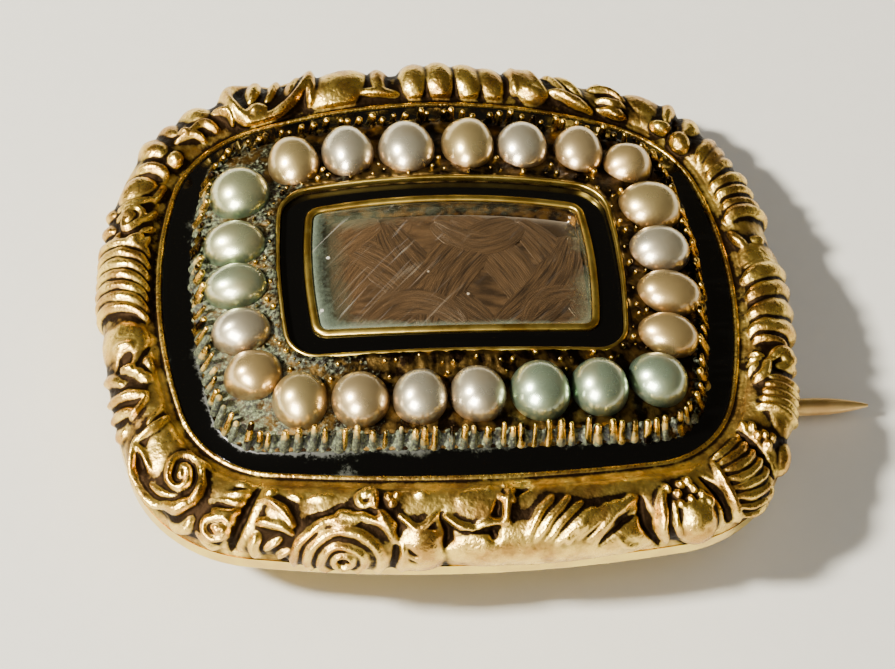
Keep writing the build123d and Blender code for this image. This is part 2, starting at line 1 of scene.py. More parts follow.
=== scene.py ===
"""Looks of the locket brooch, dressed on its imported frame.

Lengths in the classes are millimetres in the frame of the case: its back is the plane z = 0,
+X runs along the length and +Z out of the face. Rest turns them into the metres of the
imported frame, in which the brooch lies on a table.
"""

import json
import logging
import math
from dataclasses import dataclass
from enum import Enum
from functools import cached_property, partial
from typing import Any, Callable, NamedTuple, Optional, Sequence

import bmesh
import bpy
import numpy as np
from mathutils import Matrix, Vector

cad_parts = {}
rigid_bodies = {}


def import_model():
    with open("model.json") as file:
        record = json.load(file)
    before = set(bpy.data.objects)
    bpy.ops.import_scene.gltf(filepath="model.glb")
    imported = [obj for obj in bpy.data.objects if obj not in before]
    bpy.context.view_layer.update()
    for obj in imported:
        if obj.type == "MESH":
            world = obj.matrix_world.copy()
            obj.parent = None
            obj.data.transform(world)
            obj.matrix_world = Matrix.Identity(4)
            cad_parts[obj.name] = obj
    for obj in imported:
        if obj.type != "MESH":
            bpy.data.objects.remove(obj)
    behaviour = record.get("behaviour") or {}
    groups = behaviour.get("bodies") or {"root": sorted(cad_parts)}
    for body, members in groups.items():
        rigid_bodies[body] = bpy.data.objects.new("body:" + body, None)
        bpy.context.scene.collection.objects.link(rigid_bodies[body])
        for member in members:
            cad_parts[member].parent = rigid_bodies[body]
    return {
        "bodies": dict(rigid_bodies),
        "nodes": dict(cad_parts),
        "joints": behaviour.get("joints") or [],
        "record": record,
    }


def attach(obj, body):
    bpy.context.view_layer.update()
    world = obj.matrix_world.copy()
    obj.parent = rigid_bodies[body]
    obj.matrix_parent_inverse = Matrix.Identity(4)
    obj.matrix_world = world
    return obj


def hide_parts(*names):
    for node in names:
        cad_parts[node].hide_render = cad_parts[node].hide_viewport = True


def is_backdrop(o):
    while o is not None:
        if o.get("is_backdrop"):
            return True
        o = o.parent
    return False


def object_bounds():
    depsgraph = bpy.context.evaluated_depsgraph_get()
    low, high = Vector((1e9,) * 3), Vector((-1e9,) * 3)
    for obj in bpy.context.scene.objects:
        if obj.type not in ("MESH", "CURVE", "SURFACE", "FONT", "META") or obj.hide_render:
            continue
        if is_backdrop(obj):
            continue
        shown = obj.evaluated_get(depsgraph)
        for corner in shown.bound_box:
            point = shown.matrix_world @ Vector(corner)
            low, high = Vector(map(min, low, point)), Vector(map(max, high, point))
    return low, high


log = logging.getLogger("brooch")

MM = 0.001
MERGE_DISTANCE = 1e-7
QUARTER = 3.0   # stations in a quarter of a cushion outline
FULL_TURN = 4 * QUARTER
FINE_STATIONS = 4800
LATTICE_LINES = 97   # lines of random heights across a rough lattice
NO_MARK = -9.0   # lower than any mark reaches
ATTRIBUTE = "ShaderNodeAttribute"
BUMP = "ShaderNodeBump"
MATH = "ShaderNodeMath"
MIX = "ShaderNodeMix"
NOISE = "ShaderNodeTexNoise"
OUTPUT = "ShaderNodeOutputMaterial"
PRINCIPLED = "ShaderNodeBsdfPrincipled"
RANGE = "ShaderNodeMapRange"


@dataclass(frozen=True)
class Rest:
    """How the case lies: turned about X, away from its own upright frame."""

    sine: float
    cosine: float

    @classmethod
    def from_frame(cls, frame: dict) -> "Rest":
        """Read the turn from the axis of the pin's hinge, which is the case's own Y."""
        axis = frame["joints"][0]["axis"]
        return cls(sine=-axis[2], cosine=axis[1])

    def placed(self, points: np.ndarray) -> np.ndarray:
        """Turn points of the case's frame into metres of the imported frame.

        Args:
            points: places in millimetres, with x, y and z along the last axis.

        Returns:
            The same places in metres, as the brooch lies.
        """
        x, y, z = np.moveaxis(points, -1, 0)
        y_lying = y * self.cosine + z * self.sine
        z_lying = z * self.cosine - y * self.sine
        return np.stack((x, y_lying, z_lying), axis=-1) * MM

    def back_in_case(self, points: np.ndarray) -> np.ndarray:
        """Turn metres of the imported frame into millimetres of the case's frame.

        Args:
            points: places in metres, with x, y and z along the last axis.

        Returns:
            The same places in millimetres, in the case's own upright frame.
        """
        x, y, z = np.moveaxis(points, -1, 0)
        y_case = y * self.cosine - z * self.sine
        z_case = z * self.cosine + y * self.sine
        return np.stack((x, y_case, z_case), axis=-1) / MM


class Bend(NamedTuple):
    """How an outline inside the case bends: the radii of its long sides, ends and corners."""

    long_bow: float
    end_bow: float
    corner: float


@dataclass(frozen=True)
class Cushion:
    """A cushion outline: two long sides, two ends and four rounded corners."""

    length: float
    breadth: float
    long_bow: float
    end_bow: float
    front_corner: float
    back_corner: float

    def grown(self, by: float) -> "Cushion":
        """The same outline, moved out by a distance all round."""
        return Cushion(
            self.length + 2 * by,
            self.breadth + 2 * by,
            self.long_bow + by,
            self.end_bow + by,
            self.front_corner + by,
            self.back_corner + by,
        )

    def inside(self, end_width: float, side_width: float, bend: Bend) -> "Cushion":
        """An outline that leaves a band of two given widths inside this one.

        Args:
            end_width: width of the band at the ends.
            side_width: width of the band at the long sides.
            bend: the radii of the new outline.

        Returns:
            The new outline.
        """
        length = self.length - 2 * end_width
        breadth = self.breadth - 2 * side_width
        return Cushion(length, breadth, *bend, bend.corner)

    def quarter(self, within: np.ndarray, corner: float) -> np.ndarray:
        """Points of the quarter where x and y are positive.

        Args:
            within: stations from 0, the middle of the end, to 3, the middle of the long side.
            corner: radius of the quarter's corner, which lies between stations 1 and 2.

        Returns:
            The points' x and y.
        """
        long_centre = self.breadth / 2 - self.long_bow
        end_centre = self.length / 2 - self.end_bow
        apart = math.hypot(end_centre, long_centre)
        long_reach = self.long_bow - corner
        end_reach = self.end_bow - corner
        share = (long_reach**2 - end_reach**2 + apart**2) / (2 * apart)
        rise = math.sqrt(long_reach**2 - share**2)
        along_x = end_centre / apart
        along_y = -long_centre / apart
        corner_x = share * along_x + rise * along_y
        corner_y = long_centre + share * along_y - rise * along_x
        start = math.atan2(corner_y, corner_x - end_centre)
        finish = math.atan2(corner_y - long_centre, corner_x)
        angle = np.interp(within, [0, 1, 2, 3], [0, start, finish, math.pi / 2])
        on_end = within < 1
        on_side = within > 2
        centre_x = np.where(on_end, end_centre, np.where(on_side, 0, corner_x))
        centre_y = np.where(on_end, 0, np.where(on_side, long_centre, corner_y))
        radius = np.where(on_end, self.end_bow, np.where(on_side, self.long_bow, corner))
        return np.stack((centre_x + radius * np.cos(angle), centre_y + radius * np.sin(angle)), axis=-1)

    def points(self, stations: np.ndarray) -> np.ndarray:
        """Points of the outline, counter-clockwise from the middle of the right end.

        Args:
            stations: where the points lie, with FULL_TURN stations all the way round.

        Returns:
            The points' x and y.
        """
        quarter, within = np.divmod(np.mod(stations, FULL_TURN), QUARTER)
        within = np.where(quarter % 2 == 1, QUARTER - within, within)
        at_back = self.quarter(within, self.back_corner)
        at_front = self.quarter(within, self.front_corner)
        spots = np.where((quarter < 2)[..., None], at_back, at_front)
        spots[..., 0] *= np.where((quarter == 0) | (quarter == 3), 1, -1)
        spots[..., 1] *= np.where(quarter < 2, 1, -1)
        return spots

    def nearest(self, spot: np.ndarray) -> np.ndarray:
        """The point of the outline that lies nearest to a spot."""
        line = self.points(np.linspace(0, FULL_TURN, FINE_STATIONS // 2, endpoint=False))
        return line[np.linalg.norm(line - spot, axis=1).argmin()]


def even_stations(inner: Cushion, outer: Cushion, steps: int) -> tuple[np.ndarray, float]:
    """Stations spaced evenly along the line midway between two outlines.

    Args:
        inner: the outline on the inner side.
        outer: the outline on the outer side, or the same one again.
        steps: how many stations, without the repeated last one.

    Returns:
        The stations, and the length of the line in millimetres.
    """
    fine = np.linspace(0, FULL_TURN, FINE_STATIONS + 1)
    line = (inner.points(fine) + outer.points(fine)) / 2
    run = np.concatenate(([0], np.cumsum(np.linalg.norm(np.diff(line, axis=0), axis=1))))
    wanted = np.arange(steps) / steps * run[-1]
    return np.interp(wanted, run, fine), float(run[-1])


@dataclass(frozen=True)
class CaseSizes:
    """Sizes of the case that its pieces share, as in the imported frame."""

    length: float = 23.04
    breadth: float = 19.84
    long_bow: float = 47.0
    end_bow: float = 24.0
    front_corner: float = 4.5
    back_corner: float = 6.4
    seat_gap: float = 0.03
    strip_height: float = 0.64
    crown_height: float = 3.78
    dome_radius: float = 28.5
    border_end_width: float = 1.92
    border_side_width: float = 2.08
    outer_enamel_end: float = 1.02
    outer_enamel_side: float = 0.90
    cell_depth: float = 0.25
    collar_width: float = 0.40
    bed_height: float = 0.20
    bed_end_width: float = 2.78
    bed_side_width: float = 3.20
    wire_width: float = 0.14
    wire_height: float = 0.28
    inner_enamel_end: float = 0.79
    inner_enamel_side: float = 0.72
    bezel_width: float = 0.24
    bezel_height: float = 0.13
    glass_thickness: float = 0.50
    glass_proud: float = 0.05
    hair_thickness: float = 0.26
    plate_thickness: float = 0.60
    plate_rim_width: float = 0.80
    well_floor: float = 0.30
    ledge_height: float = 1.05
    panel_bend: Bend = Bend(30.0, 17.6, 3.7)
    collar_bend: Bend = Bend(40.0, 22.0, 2.1)
    wire_bend: Bend = Bend(80.6, 24.9, 1.23)
    bezel_bend: Bend = Bend(55.9, 18.5, 0.56)

    @property
    def well_depth(self) -> float:
        """Depth of the well of the hair, off the face."""
        return self.glass_thickness + self.hair_thickness + 2 * self.seat_gap - self.glass_proud

    @property
    def hair_floor(self) -> float:
        """Height of the underside of the hair, off the face."""
        return self.glass_proud - self.glass_thickness - self.seat_gap - self.hair_thickness

    @property
    def case(self) -> Cushion:
        """Outside of the case."""
        return Cushion(
            self.length, self.breadth, self.long_bow, self.end_bow, self.front_corner, self.back_corner
        )

    @property
    def panel(self) -> Cushion:
        """Inside of the chased border."""
        return self.case.inside(self.border_end_width, self.border_side_width, self.panel_bend)

    @property
    def collar(self) -> Cushion:
        """Outside of the collar round the pearls."""
        return self.panel.inside(self.outer_enamel_end, self.outer_enamel_side, self.collar_bend)

    @property
    def collar_inside(self) -> Cushion:
        """Inside of the collar."""
        return self.collar.grown(-self.collar_width)

    @property
    def wire(self) -> Cushion:
        """Outside of the wire round the inner enamel."""
        return self.collar.inside(self.bed_end_width, self.bed_side_width, self.wire_bend)

    @property
    def wire_inside(self) -> Cushion:
        """Inside of that wire."""
        return self.wire.grown(-self.wire_width)

    @property
    def bezel(self) -> Cushion:
        """Outside of the bezel of the glass."""
        return self.wire_inside.inside(self.inner_enamel_end, self.inner_enamel_side, self.bezel_bend)

    @property
    def glass(self) -> Cushion:
        """Inside of the bezel."""
        return self.bezel.grown(-self.bezel_width)

    @property
    def dome_centre(self) -> float:
        """Height of the middle of the sphere that the face lies on."""
        return self.crown_height - self.dome_radius

    def on_dome(self, spots: np.ndarray, lift: np.ndarray | float) -> np.ndarray:
        """Places above flat spots, a lift along Z off the domed face."""
        level = self.dome_centre + np.sqrt(self.dome_radius**2 - (spots**2).sum(axis=-1))
        return np.concatenate((spots, (level + lift)[..., None]), axis=-1)


def vertex_places(mesh: bpy.types.Mesh) -> np.ndarray:
    """The places of a mesh's vertices.

    Args:
        mesh: the mesh.

    Returns:
        The places, one to a row.
    """
    spots = np.empty(len(mesh.vertices) * 3)
    mesh.vertices.foreach_get("co", spots)
    return spots.reshape(-1, 3)


def keep_values(mesh: bpy.types.Mesh, name: str, values: np.ndarray) -> None:
    """Keep a number for each vertex, as an attribute that a material reads."""
    mesh.attributes.new(name, "FLOAT", "POINT").data.foreach_set("value", values)


def mesh_from(name: str, work: bmesh.types.BMesh) -> bpy.types.Mesh:
    """Turn a bmesh into a mesh.

    Args:
        name: name of the mesh.
        work: the bmesh, which is freed.

    Returns:
        The mesh.
    """
    mesh = bpy.data.meshes.new(name)
    work.to_mesh(mesh)
    work.free()
    return mesh


def linked(name: str, data: bpy.types.ID) -> bpy.types.Object:
    """Give a mesh, camera or light its object, and put that in the scene.

    Args:
        name: name of the object.
        data: the mesh, camera or light.

    Returns:
        The object.
    """
    made = bpy.data.objects.new(name, data)
    bpy.context.scene.collection.objects.link(made)
    return made


def grid_mesh(
    name: str,
    points: np.ndarray,
    closed_along: bool = True,
    closed_across: bool = True,
    **values: np.ndarray,
) -> bpy.types.Object:
    """Make an object from a grid, laid over a table of places.

    Args:
        name: name of the object and its mesh.
        points: places in metres, one row for each step along and one column for each across.
        closed_along: whether the last step along meets the first.
        closed_across: whether the last step across meets the first.
        **values: numbers for each place, kept as attributes of the same names.

    Returns:
        The object, shaded smooth, with its doubles merged and its faces outwards.
    """
    steps, rows = points.shape[:2]
    along_count = steps if closed_along else steps - 1
    across_count = rows if closed_across else rows - 1
    work = bmesh.new()
    bmesh.ops.create_grid(work, x_segments=along_count, y_segments=across_count, size=1)
    mesh = mesh_from(name, work)
    spots = vertex_places(mesh)
    along = np.rint((spots[:, 0] + 1) / 2 * along_count).astype(int) % steps
    across = np.rint((spots[:, 1] + 1) / 2 * across_count).astype(int) % rows
    mesh.vertices.foreach_set("co", points[along, across].ravel())
    for key, value in values.items():
        keep_values(mesh, key, value[along, across])
    return finished(name, mesh)


def finished(name: str, mesh: bpy.types.Mesh) -> bpy.types.Object:
    """Close a mesh's seams and poles, and make its object.

    Args:
        name: name of the object.
        mesh: the mesh, whose doubles are merged before its faces are turned outwards.

    Returns:
        The object, shaded smooth.
    """
    work = bmesh.new()
    work.from_mesh(mesh)
    bmesh.ops.remove_doubles(work, verts=work.verts, dist=MERGE_DISTANCE)
    bmesh.ops.dissolve_degenerate(work, edges=work.edges, dist=MERGE_DISTANCE)
    bmesh.ops.recalc_face_normals(work, faces=work.faces)
    work.to_mesh(mesh)
    work.free()
    mesh.shade_smooth()
    return linked(name, mesh)


def joined(name: str, work: bmesh.types.BMesh) -> bpy.types.Object:
    """Turn a bmesh of several shells into one smooth object.

    Args:
        name: name of the object and its mesh.
        work: the bmesh, which is freed.

    Returns:
        The object.
    """
    mesh = mesh_from(name, work)
    mesh.shade_smooth()
    return linked(name, mesh)


def add_node(
    tree: bpy.types.NodeTree, kind: str, inputs: Optional[dict] = None, **settings: Any
) -> bpy.types.Node:
    """Add a node to a tree, with its settings and links.

    Args:
        tree: the material's or world's node tree.
        kind: the node's type.
        inputs: values, sockets or nodes, by the name or number of the input. A node stands
            for its first output in use.
        **settings: the node's own properties.

    Returns:
        The new node.
    """
    made = tree.nodes.new(kind)
    for key, value in settings.items():
        setattr(made, key, value)
    for key, value in (inputs or {}).items():
        by_name = (socket for socket in made.inputs if socket.enabled and socket.name == key)
        socket = made.inputs[key] if isinstance(key, int) else next(by_name)
        if isinstance(value, bpy.types.Node):
            value = next(output for output in value.outputs if output.enabled)
        if isinstance(value, bpy.types.NodeSocket):
            tree.links.new(value, socket)
        else:
            socket.default_value = value
    return made


def linear(code: str) -> tuple[float, float, float, float]:
    """Turn an sRGB hex colour into linear light, by the standard's own curve.

    Args:
        code: the colour, as a hash sign and six digits.

    Returns:
        Its red, green and blue in linear light, and an alpha of 1.
    """
    parts = [int(code[place : place + 2], 16) / 255 for place in (1, 3, 5)]
    turned = [c / 12.92 if c <= 0.04045 else ((c + 0.055) / 1.055) ** 2.4 for c in parts]
    return turned[0], turned[1], turned[2], 1.0


def per_metre(size_mm: float) -> float:
    """The scale of a noise whose marks are a size in millimetres."""
    return 1 / (size_mm * MM)


def blank_material(name: str) -> tuple[bpy.types.Material, bpy.types.NodeTree, bpy.types.NodeSocket]:
    """Start a material.

    Args:
        name: name of the material.

    Returns:
        The material, its node tree, and the Object coordinates in it, which are all it holds.
    """
    material = bpy.data.materials.new(name)
    material.use_nodes = True
    tree = material.node_tree
    tree.nodes.clear()
    return material, tree, add_node(tree, "ShaderNodeTexCoord").outputs["Object"]


@dataclass(frozen=True)
class GoldFinish:
    """Old yellow gold, polished and then worn: bright, with patina and painted shade in its recesses.

    The eye sees a warm mirror, a little blurred by fine wear, whose colour drifts from pale
    to brown over a millimetre. Where an attribute of the recesses is given, they are painted
    near-black: grime where a cloth never reaches, and painted shade that stands in for the
    shadow there. Where a size of hammer marks is given, shallow dents break the mirror up.
    """

    name: str
    bright: str = "#f8dc6a"
    worn: str = "#c4a04c"
    # Near-black colour of the recesses: grime, and painted shade.
    hollow: str = "#20160c"
    roughness: float = 0.15
    grimy_roughness: float = 0.5
    mottle_mm: float = 0.9
    wear_mm: float = 0.12
    grime_and_shade_attribute: Optional[str] = None
    hammer_mm: float = 0.0
    wear_depth_mm: float = 0.0015
    hammer_depth_mm: float = 0.03

    def material(self) -> bpy.types.Material:
        """Build the material.

        Returns:
            The material.
        """
        made, tree, place = blank_material(self.name)
        patches = add_node(tree, NOISE, {"Vector": place, "Scale": per_metre(self.mottle_mm), "Detail": 4.0})
        wear = add_node(tree, NOISE, {"Vector": place, "Scale": per_metre(self.wear_mm), "Detail": 3.0})
        tarnish = add_node(tree, RANGE, {"Value": patches, "From Min": 0.4, "From Max": 0.62})
        colours = {"Factor": tarnish, "A": linear(self.bright), "B": linear(self.worn)}
        base = add_node(tree, MIX, colours, data_type="RGBA")
        # Painted shade and grime: the attribute darkens each recess of the chasing towards near-black.
        if self.grime_and_shade_attribute:
            deep = add_node(tree, ATTRIBUTE, attribute_name=self.grime_and_shade_attribute).outputs["Fac"]
            broken = add_node(tree, MATH, {0: patches, 1: 0.5, 2: deep}, operation="MULTIPLY_ADD")
            broken = add_node(tree, MATH, {0: wear, 1: 0.25, 2: broken}, operation="MULTIPLY_ADD")
            grime = add_node(tree, RANGE, {"Value": broken, "From Min": 0.62, "From Max": 1.05})
        else:
            limits = {"From Min": 0.6, "From Max": 0.8, "To Max": 0.1}
            grime = add_node(tree, RANGE, {"Value": patches, **limits})
        colours = {"Factor": grime, "A": base, "B": linear(self.hollow)}
        colour = add_node(tree, MIX, colours, data_type="RGBA")
        rough = add_node(
            tree, RANGE, {"Value": grime, "To Min": self.roughness, "To Max": self.grimy_roughness}
        )
        rough = add_node(tree, MATH, {0: wear, 1: 0.12, 2: rough}, operation="MULTIPLY_ADD")
        relief, relief_mm = wear, self.wear_depth_mm
        if self.hammer_mm:
            scale = per_metre(self.hammer_mm)
            blows = add_node(tree, NOISE, {"Vector": place, "Scale": scale, "Detail": 2.0})
            relief = add_node(tree, MATH, {0: wear, 1: 0.35, 2: blows}, operation="MULTIPLY_ADD")
            relief_mm = self.hammer_depth_mm
        bump = add_node(tree, BUMP, {"Height": relief, "Distance": relief_mm * MM})
        shader = add_node(
            tree, PRINCIPLED, {"Base Color": colour, "Roughness": rough, "Metallic": 1.0, "Normal": bump}
        )
        add_node(tree, OUTPUT, {"Surface": shader})
        return made


@dataclass(frozen=True)
class EnamelFinish:
    """Black vitreous enamel, fired glossy: a deep black that shows only what it mirrors,
    with dull grey dust caught along the foot of the collar."""

    name: str
    glass: str = "#030303"
    dust: str = "#3b3e33"
    roughness: float = 0.08
    speck_mm: float = 0.14
    cloud_mm: float = 1.3
    ripple_depth_mm: float = 0.004

    def material(self) -> bpy.types.Material:
        """Build the material.

        Returns:
            The material.
        """
        made, tree, place = blank_material(self.name)
        edge = add_node(tree, ATTRIBUTE, attribute_name="dust").outputs["Fac"]
        scale = per_metre(self.speck_mm)
        specks = add_node(tree, NOISE, {"Vector": place, "Scale": scale, "Detail": 5.0, "Roughness": 0.75})
        clouds = add_node(tree, NOISE, {"Vector": place, "Scale": per_metre(self.cloud_mm), "Detail": 3.0})
        heap = add_node(tree, MATH, {0: specks, 1: 1.3, 2: edge}, operation="MULTIPLY_ADD")
        heap = add_node(tree, MATH, {0: clouds, 1: 2.2, 2: heap}, operation="MULTIPLY_ADD")
        mask = add_node(tree, RANGE, {"Value": heap, "From Min": 2.45, "From Max": 3.0})
        colour = add_node(
            tree, MIX, {"Factor": mask, "A": linear(self.glass), "B": linear(self.dust)}, data_type="RGBA"
        )
        rough = add_node(tree, RANGE, {"Value": mask, "To Min": self.roughness, "To Max": 0.9})
        bump = add_node(tree, BUMP, {"Height": clouds, "Distance": self.ripple_depth_mm * MM})
        shader = add_node(
            tree, PRINCIPLED, {"Base Color": colour, "Roughness": rough, "IOR": 1.52, "Normal": bump}
        )
        add_node(tree, OUTPUT, {"Surface": shader})
        return made


class Tint(Enum):
    """Colours that the half pearls have taken with age."""

    WHITE = "#e2dabc"
    CREAM = "#dcc484"
    PEACH = "#dcbe7e"
    PINK = "#d8bf8c"
    GREENISH = "#c6cc9c"
    TEAL = "#b2c8a6"
    GREY_GREEN = "#bac8a0"


@dataclass(frozen=True)
class PearlFinish:
    """Nacre of a split seed pearl: the light comes back silky from layers under a clear
    skin, so it shades like satin metal and carries one soft bright highlight. Its foot is
    stained, green where copper salts have crept up."""

    tint: Tint
    aged: str = "#b89c66"
    green_stain: str = "#5f8068"
    brown_stain: str = "#8a6636"
    cloud_mm: float = 0.9
    speck_mm: float = 0.1
    pit_depth_mm: float = 0.002

    def material(self) -> bpy.types.Material:
        """Build the material.

        Returns:
            The material.
        """
        made, tree, place = blank_material(f"nacre_half_pearl_{self.tint.name.lower()}")
        green = self.tint in (Tint.TEAL, Tint.GREY_GREEN, Tint.GREENISH)
        foot = add_node(tree, ATTRIBUTE, attribute_name="foot").outputs["Fac"]
        clouds = add_node(tree, NOISE, {"Vector": place, "Scale": per_metre(self.cloud_mm), "Detail": 2.0})
        specks = add_node(tree, NOISE, {"Vector": place, "Scale": per_metre(self.speck_mm), "Detail": 2.0})
        drift = add_node(tree, RANGE, {"Value": clouds, "From Min": 0.4, "From Max": 0.75, "To Max": 0.5})
        colours = {"Factor": drift, "A": linear(self.tint.value), "B": linear(self.aged)}
        body = add_node(tree, MIX, colours, data_type="RGBA")
        grime = add_node(tree, MATH, {0: specks, 1: 0.35, 2: foot}, operation="MULTIPLY_ADD")
        grime = add_node(tree, RANGE, {"Value": grime, "From Min": 0.5, "From Max": 1.15, "To Max": 0.95})
        stain = linear(self.green_stain if green else self.brown_stain)
        colour = add_node(tree, MIX, {"Factor": grime, "A": body, "B": stain}, data_type="RGBA")
        rough = add_node(
            tree, RANGE, {"Value": clouds, "From Min": 0.3, "From Max": 0.7, "To Min": 0.25, "To Max": 0.34}
        )
        bump = add_node(tree, BUMP, {"Height": specks, "Distance": self.pit_depth_mm * MM})
        nacre = {"Base Color": colour, "Roughness": rough, "IOR": 1.6, "Metallic": 0.86, "Normal": bump}
        skin = {"Coat Weight": 0.9, "Coat IOR": 2.0, "Coat Roughness": 0.1}
        shader = add_node(tree, PRINCIPLED, {**nacre, **skin})
        add_node(tree, OUTPUT, {"Surface": shader})
        return made


@dataclass(frozen=True)
class CrustFinish:
    """Cast gold under old grime and green copper salts, thickest where it is never rubbed:
    dark brown metal, a rough grey-green crust with pale specks, and clean bright tips."""

    name: str
    metal: str = "#ffd566"
    grime: str = "#1e150b"
    salts: str = "#5f6848"
    pale: str = "#aeb28e"
    deep: str = "#1a1c12"
    grimy: float = 0.0
    polish: float = 0.27
    speck_mm: float = 0.11
    cloud_mm: float = 0.5
    crust_depth_mm: float = 0.02

    def material(self) -> bpy.types.Material:
        """Build the material.

        Returns:
            The material.
        """
        made, tree, place = blank_material(self.name)
        dust = add_node(tree, ATTRIBUTE, attribute_name="dust").outputs["Fac"]
        scale = per_metre(self.speck_mm)
        specks = add_node(tree, NOISE, {"Vector": place, "Scale": scale, "Detail": 4.0, "Roughness": 0.65})
        clouds = add_node(tree, NOISE, {"Vector": place, "Scale": per_metre(self.cloud_mm), "Detail": 3.0})
        brown = add_node(tree, MATH, {0: clouds, 1: self.grimy}, operation="ADD")
        brown = add_node(tree, RANGE, {"Value": brown, "From Min": 0.42, "From Max": 0.6})
        base = add_node(
            tree, MIX, {"Factor": brown, "A": linear(self.metal), "B": linear(self.grime)}, data_type="RGBA"
        )
        heap = add_node(tree, MATH, {0: specks, 1: 0.8, 2: dust}, operation="MULTIPLY_ADD")
        heap = add_node(tree, MATH, {0: clouds, 1: 0.6, 2: heap}, operation="MULTIPLY_ADD")
        mask = add_node(tree, RANGE, {"Value": heap, "From Min": 1.1, "From Max": 1.4})
        light = add_node(tree, RANGE, {"Value": specks, "From Min": 0.42, "From Max": 0.58})
        white = add_node(tree, RANGE, {"Value": specks, "From Min": 0.6, "From Max": 0.72})
        crust = add_node(
            tree, MIX, {"Factor": light, "A": linear(self.deep), "B": linear(self.salts)}, data_type="RGBA"
        )
        crust = add_node(tree, MIX, {"Factor": white, "A": crust, "B": linear(self.pale)}, data_type="RGBA")
        colour = add_node(tree, MIX, {"Factor": mask, "A": base, "B": crust}, data_type="RGBA")
        metallic = add_node(tree, RANGE, {"Value": mask, "From Max": 0.6, "To Min": 1.0, "To Max": 0.0})
        rough = add_node(tree, RANGE, {"Value": mask, "From Max": 0.7, "To Min": self.polish, "To Max": 0.8})
        bump = add_node(tree, BUMP, {"Height": specks, "Distance": self.crust_depth_mm * MM})
        looks = {"Base Color": colour, "Metallic": metallic, "Roughness": rough, "Normal": bump}
        shader = add_node(tree, PRINCIPLED, looks)
        add_node(tree, OUTPUT, {"Surface": shader})
        return made


@dataclass(frozen=True)
class GlassFinish:
    """Thin cover glass, polished and worn: clear in the middle, with long fine scratches,
    a few white specks, and a grey-green bloom that has crept in from its edge."""

    name: str = "polished_cover_glass"
    clear: str = "#f2ece2"
    bloom: str = "#7f8d78"
    scratch: str = "#d8d2c4"
    haze_mm: float = 0.8
    speck_mm: float = 0.12
    dot_spacing_mm: float = 1.5
    scratch_mm: float = 0.16
    scratch_stretch: float = 140.0
    scratch_turn: float = -42.0

    def material(self) -> bpy.types.Material:
        """Build the material.

        Returns:
            The material.
        """
        made, tree, place = blank_material(self.name)
        edge = add_node(tree, ATTRIBUTE, attribute_name="dust").outputs["Fac"]
        haze = add_node(tree, NOISE, {"Vector": place, "Scale": per_metre(self.haze_mm), "Detail": 4.0})
        specks = add_node(tree, NOISE, {"Vector": place, "Scale": per_metre(self.speck_mm), "Detail": 3.0})
        gloss = add_node(tree, "ShaderNodeBsdfGlossy", {"Roughness": 0.06, "Color": linear("#ffffff")})
        through = add_node(tree, "ShaderNodeBsdfTransparent", {"Color": linear(self.clear)})
        facing = add_node(tree, "ShaderNodeLayerWeight", {"Blend": 0.5}).outputs["Facing"]
        facing = add_node(tree, MATH, {0: facing, 1: 5.0}, operation="POWER")
        edge_on = add_node(tree, MATH, {0: facing, 1: 0.96, 2: 0.04}, operation="MULTIPLY_ADD")
        glass = add_node(tree, "ShaderNodeMixShader", {0: edge_on, 1: through, 2: gloss})
        turn = math.radians(self.scratch_turn)
        drawn_out = {"Rotation": (0, 0, turn), "Scale": (1.0, self.scratch_stretch, 1.0)}
        lines = add_node(tree, "ShaderNodeMapping", {"Vector": place, **drawn_out}, vector_type="TEXTURE")
        scale = per_metre(self.scratch_mm)
        scratches = add_node(tree, NOISE, {"Vector": lines, "Scale": scale, "Detail": 2.0})
        limits = {"From Min": 0.62, "From Max": 0.74, "To Max": 0.2}
        scratches = add_node(tree, RANGE, {"Value": scratches, **limits})
        side = add_node(tree, "ShaderNodeSeparateXYZ", {"Vector": place}).outputs["X"]
        side = add_node(tree, RANGE, {"Value": side, "From Min": MM, "From Max": -3.0 * MM, "To Min": 0.12})
        scratches = add_node(tree, MATH, {0: scratches, 1: side}, operation="MULTIPLY")
        scale = per_metre(self.dot_spacing_mm)
        dots = add_node(tree, "ShaderNodeTexVoronoi", {"Vector": place, "Scale": scale})
        dots = add_node(tree, RANGE, {"Value": dots, "From Min": 0.05, "From Max": 0.03, "To Max": 0.6})
        heap = add_node(tree, MATH, {0: haze, 1: 0.5, 2: edge}, operation="MULTIPLY_ADD")
        heap = add_node(tree, MATH, {0: specks, 1: 0.4, 2: heap}, operation="MULTIPLY_ADD")
        veil = add_node(tree, RANGE, {"Value": heap, "From Min": 0.75, "From Max": 1.6, "To Max": 0.6})
        marks = add_node(tree, MATH, {0: scratches, 1: dots}, operation="MAXIMUM")
        dull = add_node(tree, "ShaderNodeBsdfDiffuse", {"Color": linear(self.bloom)})
        white = add_node(tree, "ShaderNodeBsdfDiffuse", {"Color": linear(self.scratch)})
        bloomed = add_node(tree, "ShaderNodeMixShader", {0: veil, 1: glass, 2: dull})
        scratched = add_node(tree, "ShaderNodeMixShader", {0: marks, 1: bloomed, 2: white})
        add_node(tree, OUTPUT, {"Surface": scratched})
        return made


